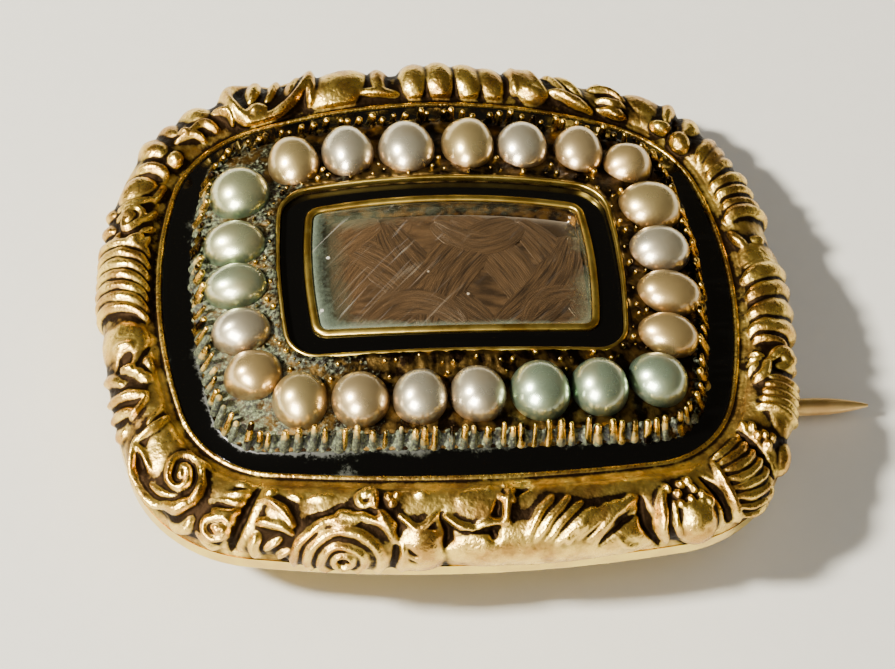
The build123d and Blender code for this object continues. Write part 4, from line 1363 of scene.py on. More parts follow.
@dataclass
class ChasedBorder:
    """The raised border of the case, chased with scrolls, shells, flowers and leaves."""

    sizes: CaseSizes
    rest: Rest
    lip_width: float = 0.30
    lip_proud: float = 0.05
    crest_rise: float = 0.42
    side_swell: float = 0.33
    ledge_width: float = 0.55
    mark_breadth: float = 3.46
    steps: int = 1320
    rows: int = 58
    lowered: float = 0.15
    wobble: float = 0.05
    wobble_cells: tuple[float, float] = (0.45, 0.4)
    matting: float = 0.012
    matting_cell: float = 0.16
    sharpness: float = 0.8
    fullness: float = 0.5
    lip_fade: float = 0.03
    foot_fade: float = 0.05
    lip_tuck: float = 0.05
    foot_tuck: float = 0.03
    cut_width: float = 1.22
    cut_height: float = 0.8

    def swell(self, width: np.ndarray, lip_level: np.ndarray) -> np.ndarray:
        """The border's plain profile, evenly spaced from its lip to its foot.

        Args:
            width: width of the border at each station.
            lip_level: height of its lip there.

        Returns:
            For each station and row, the distance out from the panel and the height.
        """
        seat = self.sizes.strip_height + self.sizes.seat_gap
        drop = lip_level - seat
        crest = self.lip_width + 0.3 * (width - self.lip_width)
        pulls = np.stack(
            [
                np.stack((np.full_like(width, self.lip_width), lip_level), -1),
                np.stack((crest, lip_level + 2 * self.crest_rise), -1),
                np.stack((width + 2.2 * self.side_swell, seat + 0.8 * drop + 0.1), -1),
                np.stack((width, np.full_like(width, seat)), -1),
            ],
            axis=1,
        )
        t = np.linspace(0, 1, 61)
        weights = np.stack(((1 - t) ** 3, 3 * t * (1 - t) ** 2, 3 * t**2 * (1 - t), t**3))
        curve = np.einsum("wt,swa->sta", weights, pulls)
        run = np.cumsum(np.linalg.norm(np.diff(curve, axis=1), axis=2), axis=1)
        run = np.concatenate((np.zeros((len(width), 1)), run), axis=1)
        shares = np.arange(self.rows + 1) / self.rows
        return np.stack(
            [
                np.stack([np.interp(shares * r[-1], r, c[:, axis]) for axis in (0, 1)], -1)
                for r, c in zip(run, curve)
            ]
        )

    def relief(self, run: float) -> tuple[np.ndarray, np.ndarray]:
        """Cut the marks.

        Args:
            run: length of the border.

        Returns:
            The height of the relief at each place, and how dark each place is painted: grime and painted
            shade in its recesses.
        """
        chasing = Chasing(run, self.mark_breadth, self.steps, self.rows)
        places = chasing.along, chasing.across
        warps = [rough_lattice(*places, cell, run, seed) for seed, cell in enumerate(self.wobble_cells, 3)]
        chasing.along = chasing.along + self.wobble * warps[0]
        chasing.across = chasing.across + self.wobble * warps[1]
        for mark in chased_marks():
            chasing.cut(mark._replace(wide=mark.wide * self.cut_width, high=mark.high * self.cut_height))
        grain = rough_lattice(chasing.along, chasing.across, self.matting_cell, run, seed=5)
        chasing.height += self.matting * grain
        chasing.soften()
        hollows = chasing.hollows()
        chasing.height = self.sharpness * chasing.height + self.fullness * chasing.blurred(16)
        share = np.arange(self.rows + 1) / self.rows
        near_lip = np.clip(share / self.lip_fade, 0, 1)
        near_foot = np.clip((1 - share) / self.foot_fade, 0, 1)
        height = (chasing.height - self.lowered) * near_lip * near_foot
        height[:, 0] = -self.lip_tuck
        height[:, -2:] = -self.foot_tuck
        return height, hollows

    def build(self) -> bpy.types.Object:
        """Make the border's mesh, as one closed ring.

        Returns:
            The border. The points of its inner side are given by their distance out from the
            panel and their height: up the wall, then over the rolled lip.
        """
        sizes = self.sizes
        stations, run = even_stations(sizes.panel, sizes.case, self.steps)
        near = sizes.panel.points(stations)
        far = sizes.case.points(stations)
        width = np.linalg.norm(far - near, axis=1)
        outward = (far - near) / width[:, None]
        lip_level = sizes.crown_height + self.lip_proud - (near**2).sum(axis=1) / (2 * sizes.dome_radius)
        profile = self.swell(width, lip_level)
        slope = np.gradient(profile, axis=1)
        slope /= np.linalg.norm(slope, axis=2, keepdims=True)
        height, hollows = self.relief(run)
        out = profile[..., 0] - height * slope[..., 1]
        level = profile[..., 1] + height * slope[..., 0]
        seat = sizes.strip_height + sizes.seat_gap
        same = np.ones_like(width)
        inner = [
            (-self.ledge_width * same, seat * same),
            (-self.ledge_width * same, sizes.ledge_height * same),
            (0 * same, sizes.ledge_height * same),
            (0 * same, lip_level - 0.06),
            (0.018 * same, lip_level - 0.01),
            (0.06 * same, lip_level + 0.012),
            (0.115 * same, lip_level + 0.005),
            (0.165 * same, lip_level - 0.05),
            (0.22 * same, lip_level - 0.06),
        ]
        out = np.concatenate((np.stack([o for o, _ in inner], 1), out), axis=1)
        level = np.concatenate((np.stack([l for _, l in inner], 1), level), axis=1)
        # Painted shade and grime on the lip rows: none on its rolled top, dark in the groove behind it.
        lip_grime_and_shade = np.interp(np.arange(len(inner)), [5, 6, 7], [0.0, 0.0, 0.7])
        hollows = np.concatenate((np.tile(lip_grime_and_shade, (self.steps, 1)), hollows), axis=1)
        flat = near[:, None, :] + out[..., None] * outward[:, None, :]
        points = self.rest.placed(np.concatenate((flat, level[..., None]), axis=-1))
        return grid_mesh("chased_relief", points, hollow=hollows)


@dataclass
class DomedRing:
    """A closed ring that follows the domed face between two outlines."""

    name: str
    sizes: CaseSizes
    rest: Rest
    inner: Optional[Cushion]
    outer: Cushion
    section: Sequence[tuple[float, float]]
    steps: int = 720
    dust: Optional[Callable[[np.ndarray, np.ndarray], np.ndarray]] = None
    detail: Optional[Callable[[np.ndarray, np.ndarray], tuple[np.ndarray, np.ndarray]]] = None

    def build(self) -> bpy.types.Object:
        """Make the ring's mesh.

        Returns:
            The ring, or a whole disc where it has no inner outline. Its section holds shares of
            the way from the inner outline to the outer one, with the lift of each off the face.
        """
        middle = self.inner or self.outer
        stations, run = even_stations(middle, self.outer, self.steps)
        far = self.outer.points(stations)
        near = self.inner.points(stations) if self.inner else np.zeros_like(far)
        share = np.array([place for place, _ in self.section])
        lift = np.array([up for _, up in self.section])[None, :] * np.ones((self.steps, 1))
        share = share[None, :] * np.ones((self.steps, 1))
        along = np.arange(self.steps)[:, None] / self.steps * run * np.ones_like(share)
        if self.detail:
            more_share, more_lift = self.detail(along, share)
            share = share + more_share
            lift = lift + more_lift
        flat = near[:, None, :] * (1 - share[..., None]) + far[:, None, :] * share[..., None]
        points = self.sizes.on_dome(flat, lift)
        values = {}
        if self.dust:
            values["dust"] = self.dust(flat, share)
        return grid_mesh(self.name, self.rest.placed(points), **values)


def dust_side(spots: np.ndarray) -> np.ndarray:
    """How dusty a side of the face is: most at its near left, least at its far right."""
    return np.clip(0.5 - 0.035 * spots[..., 0] - 0.05 * spots[..., 1], 0, 1)


@dataclass
class Face:
    """The domed face inside the border: enamel, collar, claws, plate, bed, wires and glass.

    What varies from claw to claw or grain to grain is given by its least and greatest value.
    A claw's foot and tip are shares of the way out over the collar.
    """

    sizes: CaseSizes
    rest: Rest
    claw_spacing: float = 0.4
    claw_taper: float = 0.22
    claw_jitter: tuple[float, float] = (-0.35, 0.35)
    claw_foot: tuple[float, float] = (0.7, 0.95)
    claw_tip: tuple[float, float] = (0.05, 0.45)
    claw_height: tuple[float, float] = (0.52, 0.8)
    claw_width: tuple[float, float] = (0.16, 0.32)
    grain_width: tuple[float, float] = (0.1, 0.24)
    grain_spots: Sequence[tuple[float, float]] = ((0.5, 0.5), (0.42, 0.78), (0.62, 0.8), (0.02, 0.9))
    bed_rows: int = 16

    def enamel(self, name: str, inner: Cushion, outer: Cushion, dusty: float) -> bpy.types.Object:
        """A band of enamel that creeps up its walls a little.

        Args:
            name: name of the piece.
            inner: its inner edge.
            outer: its outer edge.
            dusty: how far dust clings to its inner edge.

        Returns:
            The band.
        """
        floor = self.sizes.seat_gap - self.sizes.cell_depth
        top = [(0.0, 0.02), (0.03, 0.008), (0.1, 0.0), (0.3, -0.004), (0.5, -0.006), (0.7, -0.004),
               (0.9, 0.0), (0.97, 0.006), (1.0, 0.016)]
        section = top + [(1.0, floor), (0.0, floor)]

        def dust(spots: np.ndarray, share: np.ndarray) -> np.ndarray:
            """Dust along both walls, most along the inner one."""
            near_wall = 0.9 * np.exp(-share / 0.4) + 0.35 * np.exp(-(1 - share) / 0.1)
            return dusty * near_wall * (0.1 + dust_side(spots))

        return DomedRing(name, self.sizes, self.rest, inner, outer, section, 720, dust).build()

    def collar(self) -> bpy.types.Object:
        """The low wall round the pearls, scalloped between its claws.

        Returns:
            The wall, as a ring.
        """
        sizes = self.sizes
        section = [(1.03, -0.1), (1.03, 0.0), (0.97, 0.05), (0.84, 0.1), (0.66, 0.16), (0.46, 0.23),
                   (0.26, 0.28), (0.08, 0.3), (-0.12, 0.28), (-0.3, 0.22), (-0.36, 0.1)]
        run = even_stations(sizes.collar_inside, sizes.collar, 8)[1]
        count = round(run / self.claw_spacing)

        def pleat(along: np.ndarray, share: np.ndarray) -> tuple[np.ndarray, np.ndarray]:
            """One scallop to a claw, with ragged metal over it.

            Args:
                along: places along the wall, in millimetres.
                share: shares of the way out over it.

            Returns:
                What to add to each share, and to each lift.
            """
            wave = np.abs(np.cos(math.pi * along / run * count)) ** 1.5
            high = np.clip(1 - np.abs(share - 0.15) / 0.8, 0, 1)
            outer = np.clip((share + 0.2) / 0.6, 0, 1)
            ragged = 0.08 * rough_lattice(along, share * 2, 0.5, run, 12)
            ragged += 0.05 * rough_lattice(along, share * 4, 0.15, run, 13)
            return 0.3 * (wave - 0.5) * outer, (0.22 * (wave - 0.8) + ragged) * high

        def dust(spots: np.ndarray, share: np.ndarray) -> np.ndarray:
            """A trace of dust all round, and more on the dusty side."""
            return 0.04 + 0.8 * dust_side(spots)

        return DomedRing(
            "pleated_collar", sizes, self.rest, sizes.collar_inside, sizes.collar, section, 1800, dust, pleat
        ).build()

    def drop(self, foot: np.ndarray, tip: np.ndarray, wide: float, dust: float) -> bpy.types.Mesh:
        """A small round-ended peg of metal between two points of the case.

        Args:
            foot: its lower end.
            tip: its upper end.
            wide: its width in the middle.
            dust: how dusty its foot is. Its tip is rubbed clean.

        Returns:
            The peg's mesh.
        """
        work = bmesh.new()
        bmesh.ops.create_uvsphere(work, u_segments=10, v_segments=8, radius=1)
        low, high = (Vector(self.rest.placed(end) / MM) for end in (foot, tip))
        half = (high - low).length / 2
        for vertex in work.verts:
            end = 1 if vertex.co.z > -0.01 else -1
            radius = wide / 2 * (1 - self.claw_taper * end)
            vertex.co = vertex.co * radius + Vector((0, 0, end * half))
        mesh = mesh_from("peg", work)
        share = 0.5 + vertex_places(mesh)[:, 2] / (2 * half + wide)
        keep_values(mesh, "dust", dust - 0.9 * share)
        turn = (high - low).to_track_quat("Z", "Y").to_matrix().to_4x4()
        mesh.transform(Matrix.Scale(MM, 4) @ Matrix.Translation((low + high) / 2) @ turn)
        return mesh

    def claws(self) -> bpy.types.Object:
        """The claws that rise from the collar and lean in over the pearls.

        Returns:
            The claws as one piece.
        """
        sizes = self.sizes
        stations, run = even_stations(sizes.collar_inside, sizes.collar, FINE_STATIONS)
        near = sizes.collar_inside.points(stations)
        far = sizes.collar.points(stations)
        count = round(run / self.claw_spacing)
        random = np.random.default_rng(31)
        work = bmesh.new()
        for number in range(count):
            place = (number + random.uniform(*self.claw_jitter)) / count
            at = int(round(place * FINE_STATIONS)) % FINE_STATIONS
            across = far[at] - near[at]
            foot = near[at] + random.uniform(*self.claw_foot) * across
            tip = near[at] + random.uniform(*self.claw_tip) * across
            lifts = np.array([0.05, random.uniform(*self.claw_height)])
            ends = sizes.on_dome(np.stack((foot, tip)), lifts)
            dusty = 0.15 + float(dust_side(near[at])) + random.uniform(-0.6, 0.5)
            mesh = self.drop(ends[0], ends[1], random.uniform(*self.claw_width), dusty)
            work.from_mesh(mesh)
            bpy.data.meshes.remove(mesh)
        return joined("claws", work)

    def grains(self, pearls: Sequence[np.ndarray]) -> bpy.types.Object:
        """The grains raised from the bed between the pearls, on their inner side.

        Args:
            pearls: the middle of each half pearl, in the frame of the case.

        Returns:
            The grains as one piece. Each of their spots is the share of the way to the next
            pearl, and then of the way to the inner wire.
        """
        sizes = self.sizes
        random = np.random.default_rng(32)
        work = bmesh.new()
        for number, pearl in enumerate(pearls):
            following = pearls[(number + 1) % len(pearls)]
            for part, share in self.grain_spots:
                between = pearl[:2] + part * (following[:2] - pearl[:2])
                wall = sizes.wire.nearest(between)
                spot = between + (share + random.uniform(-0.06, 0.06)) * (wall - between)
                size = random.uniform(*self.grain_width)
                ends = sizes.on_dome(np.stack((spot, spot)), np.array([0.18, 0.2 + 0.6 * size]))
                dusty = 0.2 + 0.9 * float(dust_side(spot)) + random.uniform(-0.3, 0.3)
                mesh = self.drop(ends[0], ends[1], size, dusty)
                work.from_mesh(mesh)
                bpy.data.meshes.remove(mesh)
        return joined("setting_grains", work)

    def plate(self) -> bpy.types.Object:
        """The domed plate under the face, with its two cells, its bed and its well.

        Returns:
            The plate. Each row of its section is an outline, the share of the way out to it, and
            the lift off the face, and a row without a lift lies on the border's ledge.
        """
        sizes = self.sizes
        rim = sizes.panel.grown(-sizes.seat_gap)
        well = -sizes.well_depth
        under = -sizes.plate_thickness
        cell = -sizes.cell_depth
        hollow = rim.grown(-sizes.plate_rim_width)
        rows = [
            (sizes.glass, 0.0, well),
            (sizes.glass, 1.0, well),
            (sizes.glass, 1.0, 0.02),
            (sizes.bezel, 1.0, 0.02),
            (sizes.bezel, 1.0, cell),
            (sizes.wire_inside, 1.0, cell),
            (sizes.wire_inside, 1.0, 0.06),
            (sizes.collar, 1.0, 0.06),
            (sizes.collar, 1.0, cell),
            (rim, 1.0, cell),
            (rim, 1.0, None),
            (hollow, 1.0, None),
            (hollow, 1.0, under),
            (sizes.bezel, 1.0, under),
            (sizes.bezel, 1.0, well - sizes.well_floor),
            (sizes.glass, 0.0, well - sizes.well_floor),
        ]
        stations = even_stations(sizes.collar, sizes.collar, 480)[0]
        columns = []
        for outline, share, lift in rows:
            places = sizes.on_dome(outline.points(stations) * share, lift or 0.0)
            if lift is None:
                places[:, 2] = sizes.ledge_height + sizes.seat_gap
            columns.append(places)
        return grid_mesh("domed_plate", self.rest.placed(np.stack(columns, axis=1)))

    def bed(self) -> bpy.types.Object:
        """The rough bed that the pearls sit on.

        Returns:
            The bed, as a ring.
        """
        sizes = self.sizes
        top = sizes.bed_height + 0.015
        section = [(row / self.bed_rows, top) for row in range(self.bed_rows + 1)]
        section += [(1.0, top - 0.1), (0.0, top - 0.1)]
        run = even_stations(sizes.wire, sizes.collar_inside, 8)[1]

        def lumps(along: np.ndarray, share: np.ndarray) -> tuple[np.ndarray, np.ndarray]:
            """Broad and fine lumps, and a rise to each wall.

            Args:
                along: places along the bed, in millimetres.
                share: shares of the way out over it.

            Returns:
                What to add to each share, and to each lift.
            """
            heap = rough_lattice(along, share * 2.6, 0.35, run, 21)
            fine = rough_lattice(along, share * 2.6, 0.12, run, 22)
            rise = 0.05 * heap + 0.025 * fine + 0.12 * np.clip(np.abs(share - 0.5) * 2 - 0.55, 0, 1)
            return np.zeros_like(share), rise

        def dust(spots: np.ndarray, share: np.ndarray) -> np.ndarray:
            """Dust that thickens towards the left end."""
            return 0.1 + 0.62 * np.clip(-spots[..., 0] / 8, 0, 1) * (0.4 + 0.6 * dust_side(spots))

        return DomedRing(
            "pearl_bed", sizes, self.rest, sizes.wire, sizes.collar_inside, section, 900, dust, lumps
        ).build()

    def wire_ring(self, name: str, inner: Cushion, outer: Cushion, height: float) -> bpy.types.Object:
        """A wire with a rounded top, standing off the face.

        Args:
            name: name of the piece.
            inner: its inner edge.
            outer: its outer edge.
            height: how far its shoulders stand off the face.

        Returns:
            The wire.
        """
        section = []
        for step in range(9):
            angle = math.pi * step / 8
            section.append((0.5 - 0.5 * math.cos(angle), height - 0.06 + 0.07 * math.sin(angle)))
        section += [(1.0, -0.05), (0.0, -0.05)]
        return DomedRing(name, self.sizes, self.rest, inner, outer, section, 720).build()

    def glass(self) -> bpy.types.Object:
        """The cover glass, domed with the face and rounded at its edge.

        Returns:
            The glass.
        """
        sizes = self.sizes
        top = sizes.glass_proud
        under = top - sizes.glass_thickness
        section = [(share, top + 0.05 * (1 - share**2)) for share in np.linspace(0, 0.96, 9)]
        section += [(0.985, top - 0.012), (1.0, top - 0.04), (1.0, under)]
        section += [(share, under) for share in (0.66, 0.33, 0.0)]
        outline = sizes.glass.grown(-sizes.seat_gap)

        def dust(spots: np.ndarray, share: np.ndarray) -> np.ndarray:
            """Bloom along the edge, and a thin one over the left of the glass."""
            edge = np.clip((share - 0.86) / 0.14, 0, 1) ** 2 * (0.05 + 1.15 * dust_side(spots))
            return edge + 0.14 * np.clip((-spots[..., 0] - 1.2) / 3, 0, 1)

        return DomedRing("domed_glass", sizes, self.rest, None, outline, section, 240, dust).build()


class Lock(NamedTuple):
    """One lock of hair, in millimetres on the face: its two ends, how far it bows to its
    left, its width, its height above the others, and how light it is, from 0 to 1."""

    start_x: float
    start_y: float
    end_x: float
    end_y: float
    bow: float
    width: float
    level: float
    tone: float


@dataclass
class Hair:
    """Brown hair in flat crossing locks under the glass."""

    sizes: CaseSizes
    rest: Rest
    strands: int = 22
    lock_rise: float = 0.035
    locks: Sequence[Lock] = (
        Lock(-5.6, -0.4, 1.6, 0.5, 0.9, 5.4, 0.0, 0.5),
        Lock(-1.6, 0.5, 5.6, -0.4, -0.9, 5.4, 0.1, 0.4),
        Lock(-4.3, -1.9, -1.2, 2.3, 0.5, 1.7, 0.3, 0.62),
        Lock(-4.2, 1.9, -0.6, -2.0, 0.6, 1.8, 0.5, 0.5),
        Lock(-3.2, -2.3, 0.9, 2.1, -0.5, 1.6, 0.7, 0.42),
        Lock(-2.1, 2.3, 1.2, -2.2, -0.6, 1.7, 0.6, 0.34),
        Lock(-0.9, -2.3, 2.4, 2.2, 0.7, 1.7, 0.8, 0.34),
        Lock(0.2, 2.3, 2.9, -2.2, 0.5, 1.6, 0.6, 0.52),
        Lock(1.4, -2.3, 4.3, 1.7, -0.6, 1.7, 0.9, 0.3),
        Lock(2.4, 2.3, 4.4, -1.8, 0.4, 1.4, 0.7, 0.4),
        Lock(-4.3, 0.6, -2.2, 2.3, 0.3, 1.3, 0.9, 0.74),
        Lock(-0.4, 2.2, 2.6, 2.1, -0.9, 1.1, 1.0, 0.42),
        Lock(-2.9, -2.0, 0.3, -2.1, 0.9, 1.1, 1.0, 0.44),
        Lock(2.3, -2.1, 4.3, -0.7, 0.5, 1.1, 1.0, 0.44),
    )

    def lock(self, number: int, lock: Lock) -> bpy.types.Object:
        """One lock as a flat lens of strands that narrows at both ends.

        Args:
            number: its place among the locks, which shifts its strands.
            lock: its sizes.

        Returns:
            The lock, which is clipped to the well of the glass.
        """
        steps = 36
        rows = 4 * self.strands
        t = np.linspace(0, 1, steps)[:, None]
        reach = np.array([lock.end_x - lock.start_x, lock.end_y - lock.start_y])
        length = np.linalg.norm(reach)
        left = np.array([-reach[1], reach[0]]) / length
        middle = np.array([lock.start_x, lock.start_y]) + t * reach + 4 * t * (1 - t) * lock.bow * left
        tangent = np.gradient(middle, axis=0)
        tangent /= np.linalg.norm(tangent, axis=1, keepdims=True)
        side = np.stack((-tangent[:, 1], tangent[:, 0]), axis=1)
        fullness = np.sqrt(np.clip(4 * t * (1 - t), 0, 1))
        across = np.linspace(-1, 1, rows)[None, :]
        half = lock.width / 2 * (0.25 + 0.75 * fullness)
        spots = middle[:, None, :] + (half * across)[..., None] * side[:, None, :]
        lens = np.sqrt(np.clip(1 - across**2, 0, 1)) * (0.4 + 0.6 * fullness)
        ridges = 0.5 + 0.5 * np.cos(math.pi * self.strands * across + 6 * np.sin(3 * t + number))
        sizes = self.sizes
        lift = sizes.hair_floor + 0.06 + 0.08 * lock.level + self.lock_rise * lens + 0.012 * ridges * lens
        limit = sizes.glass.grown(-0.08)
        spots[..., 0] = np.clip(spots[..., 0], -limit.length / 2, limit.length / 2)
        spots[..., 1] = np.clip(spots[..., 1], -limit.breadth / 2, limit.breadth / 2)
        points = self.rest.placed(sizes.on_dome(spots, lift))
        strand = across * np.ones_like(t) + number
        tone = lock.tone * np.ones_like(strand)
        along = t * length * np.ones_like(strand)
        return grid_mesh(
            f"lock_{number}", points, closed_along=False, closed_across=False,
            strand=strand, along=along, tone=tone,
        )

    def build(self) -> bpy.types.Object:
        """The locks and the pad under them, joined as one piece.

        Returns:
            The hair as one piece.
        """
        sizes = self.sizes
        top = sizes.hair_floor + 0.05
        outline = sizes.glass.grown(-sizes.seat_gap)
        section = [(share, top) for share in np.linspace(0, 1, 8)]
        section += [(1.0, top - 0.05), (0.0, top - 0.05)]
        pad = DomedRing("hair_pad", sizes, self.rest, None, outline, section, 200).build()
        parts = [pad] + [self.lock(number, lock) for number, lock in enumerate(self.locks)]
        work = bmesh.new()
        for part in parts:
            work.from_mesh(part.data)
        for part in parts:
            bpy.data.objects.remove(part)
        return joined("laid_hair", work)


class PearlLook(NamedTuple):
    """How one half pearl looks: its tint, how far it is stretched across the row, and how far
    it sits towards the inner wire, in millimetres."""

    tint: Tint
    across: float
    inward: float


@dataclass
class PearlRow:
    """The half pearls, each round the place of its own node."""

    rest: Rest
    sizes: CaseSizes
    nodes: dict
    swell: float = 1.08
    cut_level: float = 0.06
    least_gap: float = 0.05
    most_along: float = 1.1
    bumps: int = 4
    bump_spread: float = 0.8
    bump_pace: float = 2.4
    bump_height: float = 0.01
    looks: Sequence[PearlLook] = (
        PearlLook(Tint.WHITE, 1.2, 0.0),
        PearlLook(Tint.CREAM, 1.22, 0.0),
        PearlLook(Tint.PEACH, 1.08, 0.0),
        PearlLook(Tint.PINK, 1.16, 0.05),
        PearlLook(Tint.WHITE, 1.2, 0.14),
        PearlLook(Tint.CREAM, 1.3, 0.2),
        PearlLook(Tint.WHITE, 1.2, 0.15),
        PearlLook(Tint.WHITE, 1.2, 0.12),
        PearlLook(Tint.CREAM, 1.15, 0.1),
        PearlLook(Tint.GREENISH, 1.08, 0.0),
        PearlLook(Tint.GREENISH, 1.25, 0.1),
        PearlLook(Tint.GREY_GREEN, 1.28, 0.13),
        PearlLook(Tint.WHITE, 1.16, 0.1),
        PearlLook(Tint.PEACH, 1.06, 0.0),
        PearlLook(Tint.CREAM, 1.12, 0.1),
        PearlLook(Tint.PINK, 1.08, 0.05),
        PearlLook(Tint.WHITE, 1.1, 0.04),
        PearlLook(Tint.WHITE, 1.08, 0.04),
        PearlLook(Tint.TEAL, 1.08, 0.04),
        PearlLook(Tint.TEAL, 1.06, 0.04),
        PearlLook(Tint.TEAL, 1.1, 0.0),
        PearlLook(Tint.PEACH, 1.32, 0.0),
        PearlLook(Tint.PEACH, 1.38, 0.0),
    )

    @staticmethod
    def sphere(node: bpy.types.Object) -> tuple[np.ndarray, float]:
        """Fit a sphere to a half pearl's points, by least squares.

        Args:
            node: the half pearl's node.

        Returns:
            The sphere's middle and its radius, in metres.
        """
        spots = vertex_places(node.data)
        table = np.concatenate((2 * spots, np.ones((len(spots), 1))), axis=1)
        found = np.linalg.lstsq(table, (spots**2).sum(axis=1), rcond=None)[0]
        return found[:3], math.sqrt(found[3] + found[:3] @ found[:3])

    def names(self) -> list[str]:
        """The names of the half pearls' nodes."""
        return [f"pearl_{number:02d}" for number in range(1, len(self.looks) + 1)]

    @cached_property
    def spheres(self) -> list[tuple[np.ndarray, float]]:
        """The middle and the radius of each half pearl, in the frame of the case."""
        found = [self.sphere(self.nodes[name]) for name in self.names()]
        return [(self.rest.back_in_case(middle), radius / MM) for middle, radius in found]

    def along(self, number: int) -> float:
        """How far one half pearl is stretched along the row, short of its neighbours.

        Args:
            number: its place in the row, from 0.

        Returns:
            The stretch, as a multiple of its radius.
        """
        place, radius = self.spheres[number]
        room = []
        for other in (number + 1, number - 1):
            other_place, other_radius = self.spheres[other % len(self.spheres)]
            apart = np.linalg.norm(place - other_place)
            room.append((apart - radius - other_radius - self.least_gap) / 2)
        return min(1 + min(room) / radius, self.most_along)

    def pearl(self, number: int) -> bpy.types.Object:
        """One half pearl, a little uneven and drawn out across the row and along it.

        Args:
            number: its place in the row, from 0.

        Returns:
            The half pearl.
        """
        look = self.looks[number]
        place, radius = self.spheres[number]
        across = self.sizes.collar_inside.nearest(place[:2]) - place[:2]
        across = np.append(across / np.linalg.norm(across), 0.0)
        outward = place - np.array([0, 0, self.sizes.dome_centre])
        up = Vector(self.rest.placed(outward)).normalized()
        side = up.cross(Vector(self.rest.placed(across))).normalized()
        turn = Matrix((side.cross(up), side, up)).transposed().to_4x4()
        moved = Vector(self.rest.placed(place - across * look.inward))
        work = bmesh.new()
        bmesh.ops.create_uvsphere(work, u_segments=48, v_segments=32, radius=1)
        bmesh.ops.bisect_plane(
            work, geom=work.verts[:] + work.edges[:] + work.faces[:], plane_co=(0, 0, self.cut_level),
            plane_no=(0, 0, 1), clear_inner=True,
        )
        rim = [edge for edge in work.edges if edge.is_boundary]
        bmesh.ops.contextual_create(work, geom=rim)
        bumps = np.random.default_rng(number + 1).normal(0, self.bump_spread, (self.bumps, 3))
        bumps = [Vector(bump) for bump in bumps]
        for vertex in work.verts:
            waves = [self.bump_pace * vertex.co.dot(bump) + phase for phase, bump in enumerate(bumps)]
            vertex.co *= 1 + sum(self.bump_height * math.sin(wave) for wave in waves)
        bmesh.ops.recalc_face_normals(work, faces=work.faces)
        mesh = mesh_from(f"half_{self.names()[number]}", work)
        keep_values(mesh, "foot", np.clip(1 - vertex_places(mesh)[:, 2], 0, 1))
        stretch = np.array([look.across, self.along(number), self.swell]) * radius * MM
        mesh.transform(Matrix.Translation(moved) @ turn @ Matrix.Diagonal((*stretch, 1)))
        mesh.shade_smooth()
        return linked(mesh.name, mesh)


def direction(azimuth: float, elevation: float) -> Vector:
    """The way out from the brooch, at an azimuth from the viewer's side and an elevation."""
    rise, turn = math.radians(elevation), math.radians(azimuth)
    return Vector((math.sin(turn) * math.cos(rise), -math.cos(turn) * math.cos(rise), math.sin(rise)))


@dataclass(frozen=True)
class CameraView:
    """Where the photograph was taken from."""

    aim_mm: tuple[float, float, float] = (-0.38, -2.48, 4.0)
    distance_mm: float = 84.33
    elevation: float = 59.79
    azimuth: float = -12.07
    roll: float = 9.06
    lens: float = 104.55
    sensor_width: float = 36.0

    def build(self) -> None:
        """Make the camera and use it."""
        data = bpy.data.cameras.new("camera")
        data.lens = self.lens
        data.sensor_width = self.sensor_width
        data.clip_start = MM
        camera = linked("camera", data)
        back = direction(self.azimuth, self.elevation)
        camera.location = (Vector(self.aim_mm) + back * self.distance_mm) * MM
        facing = back.to_track_quat("Z", "Y").to_matrix().to_4x4()
        rolled = facing @ Matrix.Rotation(math.radians(self.roll), 4, "Z")
        camera.matrix_world = Matrix.Translation(camera.location) @ rolled
        bpy.context.scene.camera = camera


@dataclass(frozen=True)
class Light:
    """A square soft light that faces the brooch. One that isn't spread shows only in what
    mirrors it, and one that isn't mirrored only in what it lights."""

    name: str
    azimuth: float
    elevation: float
    distance_mm: float
    size_mm: float
    watts: float
    tone: str
    spread: bool
    mirrored: bool

    def build(self) -> None:
        """Make the light and place it by its direction."""
        data = bpy.data.lights.new(self.name, "AREA")
        data.shape = "SQUARE"
        data.size = self.size_mm * MM
        data.energy = self.watts
        data.color = linear(self.tone)[:3]
        lamp = linked(self.name, data)
        lamp.visible_diffuse = self.spread
        lamp.visible_glossy = self.mirrored
        away = direction(self.azimuth, self.elevation)
        lamp.location = away * self.distance_mm * MM
        lamp.rotation_euler = away.to_track_quat("Z", "Y").to_euler()


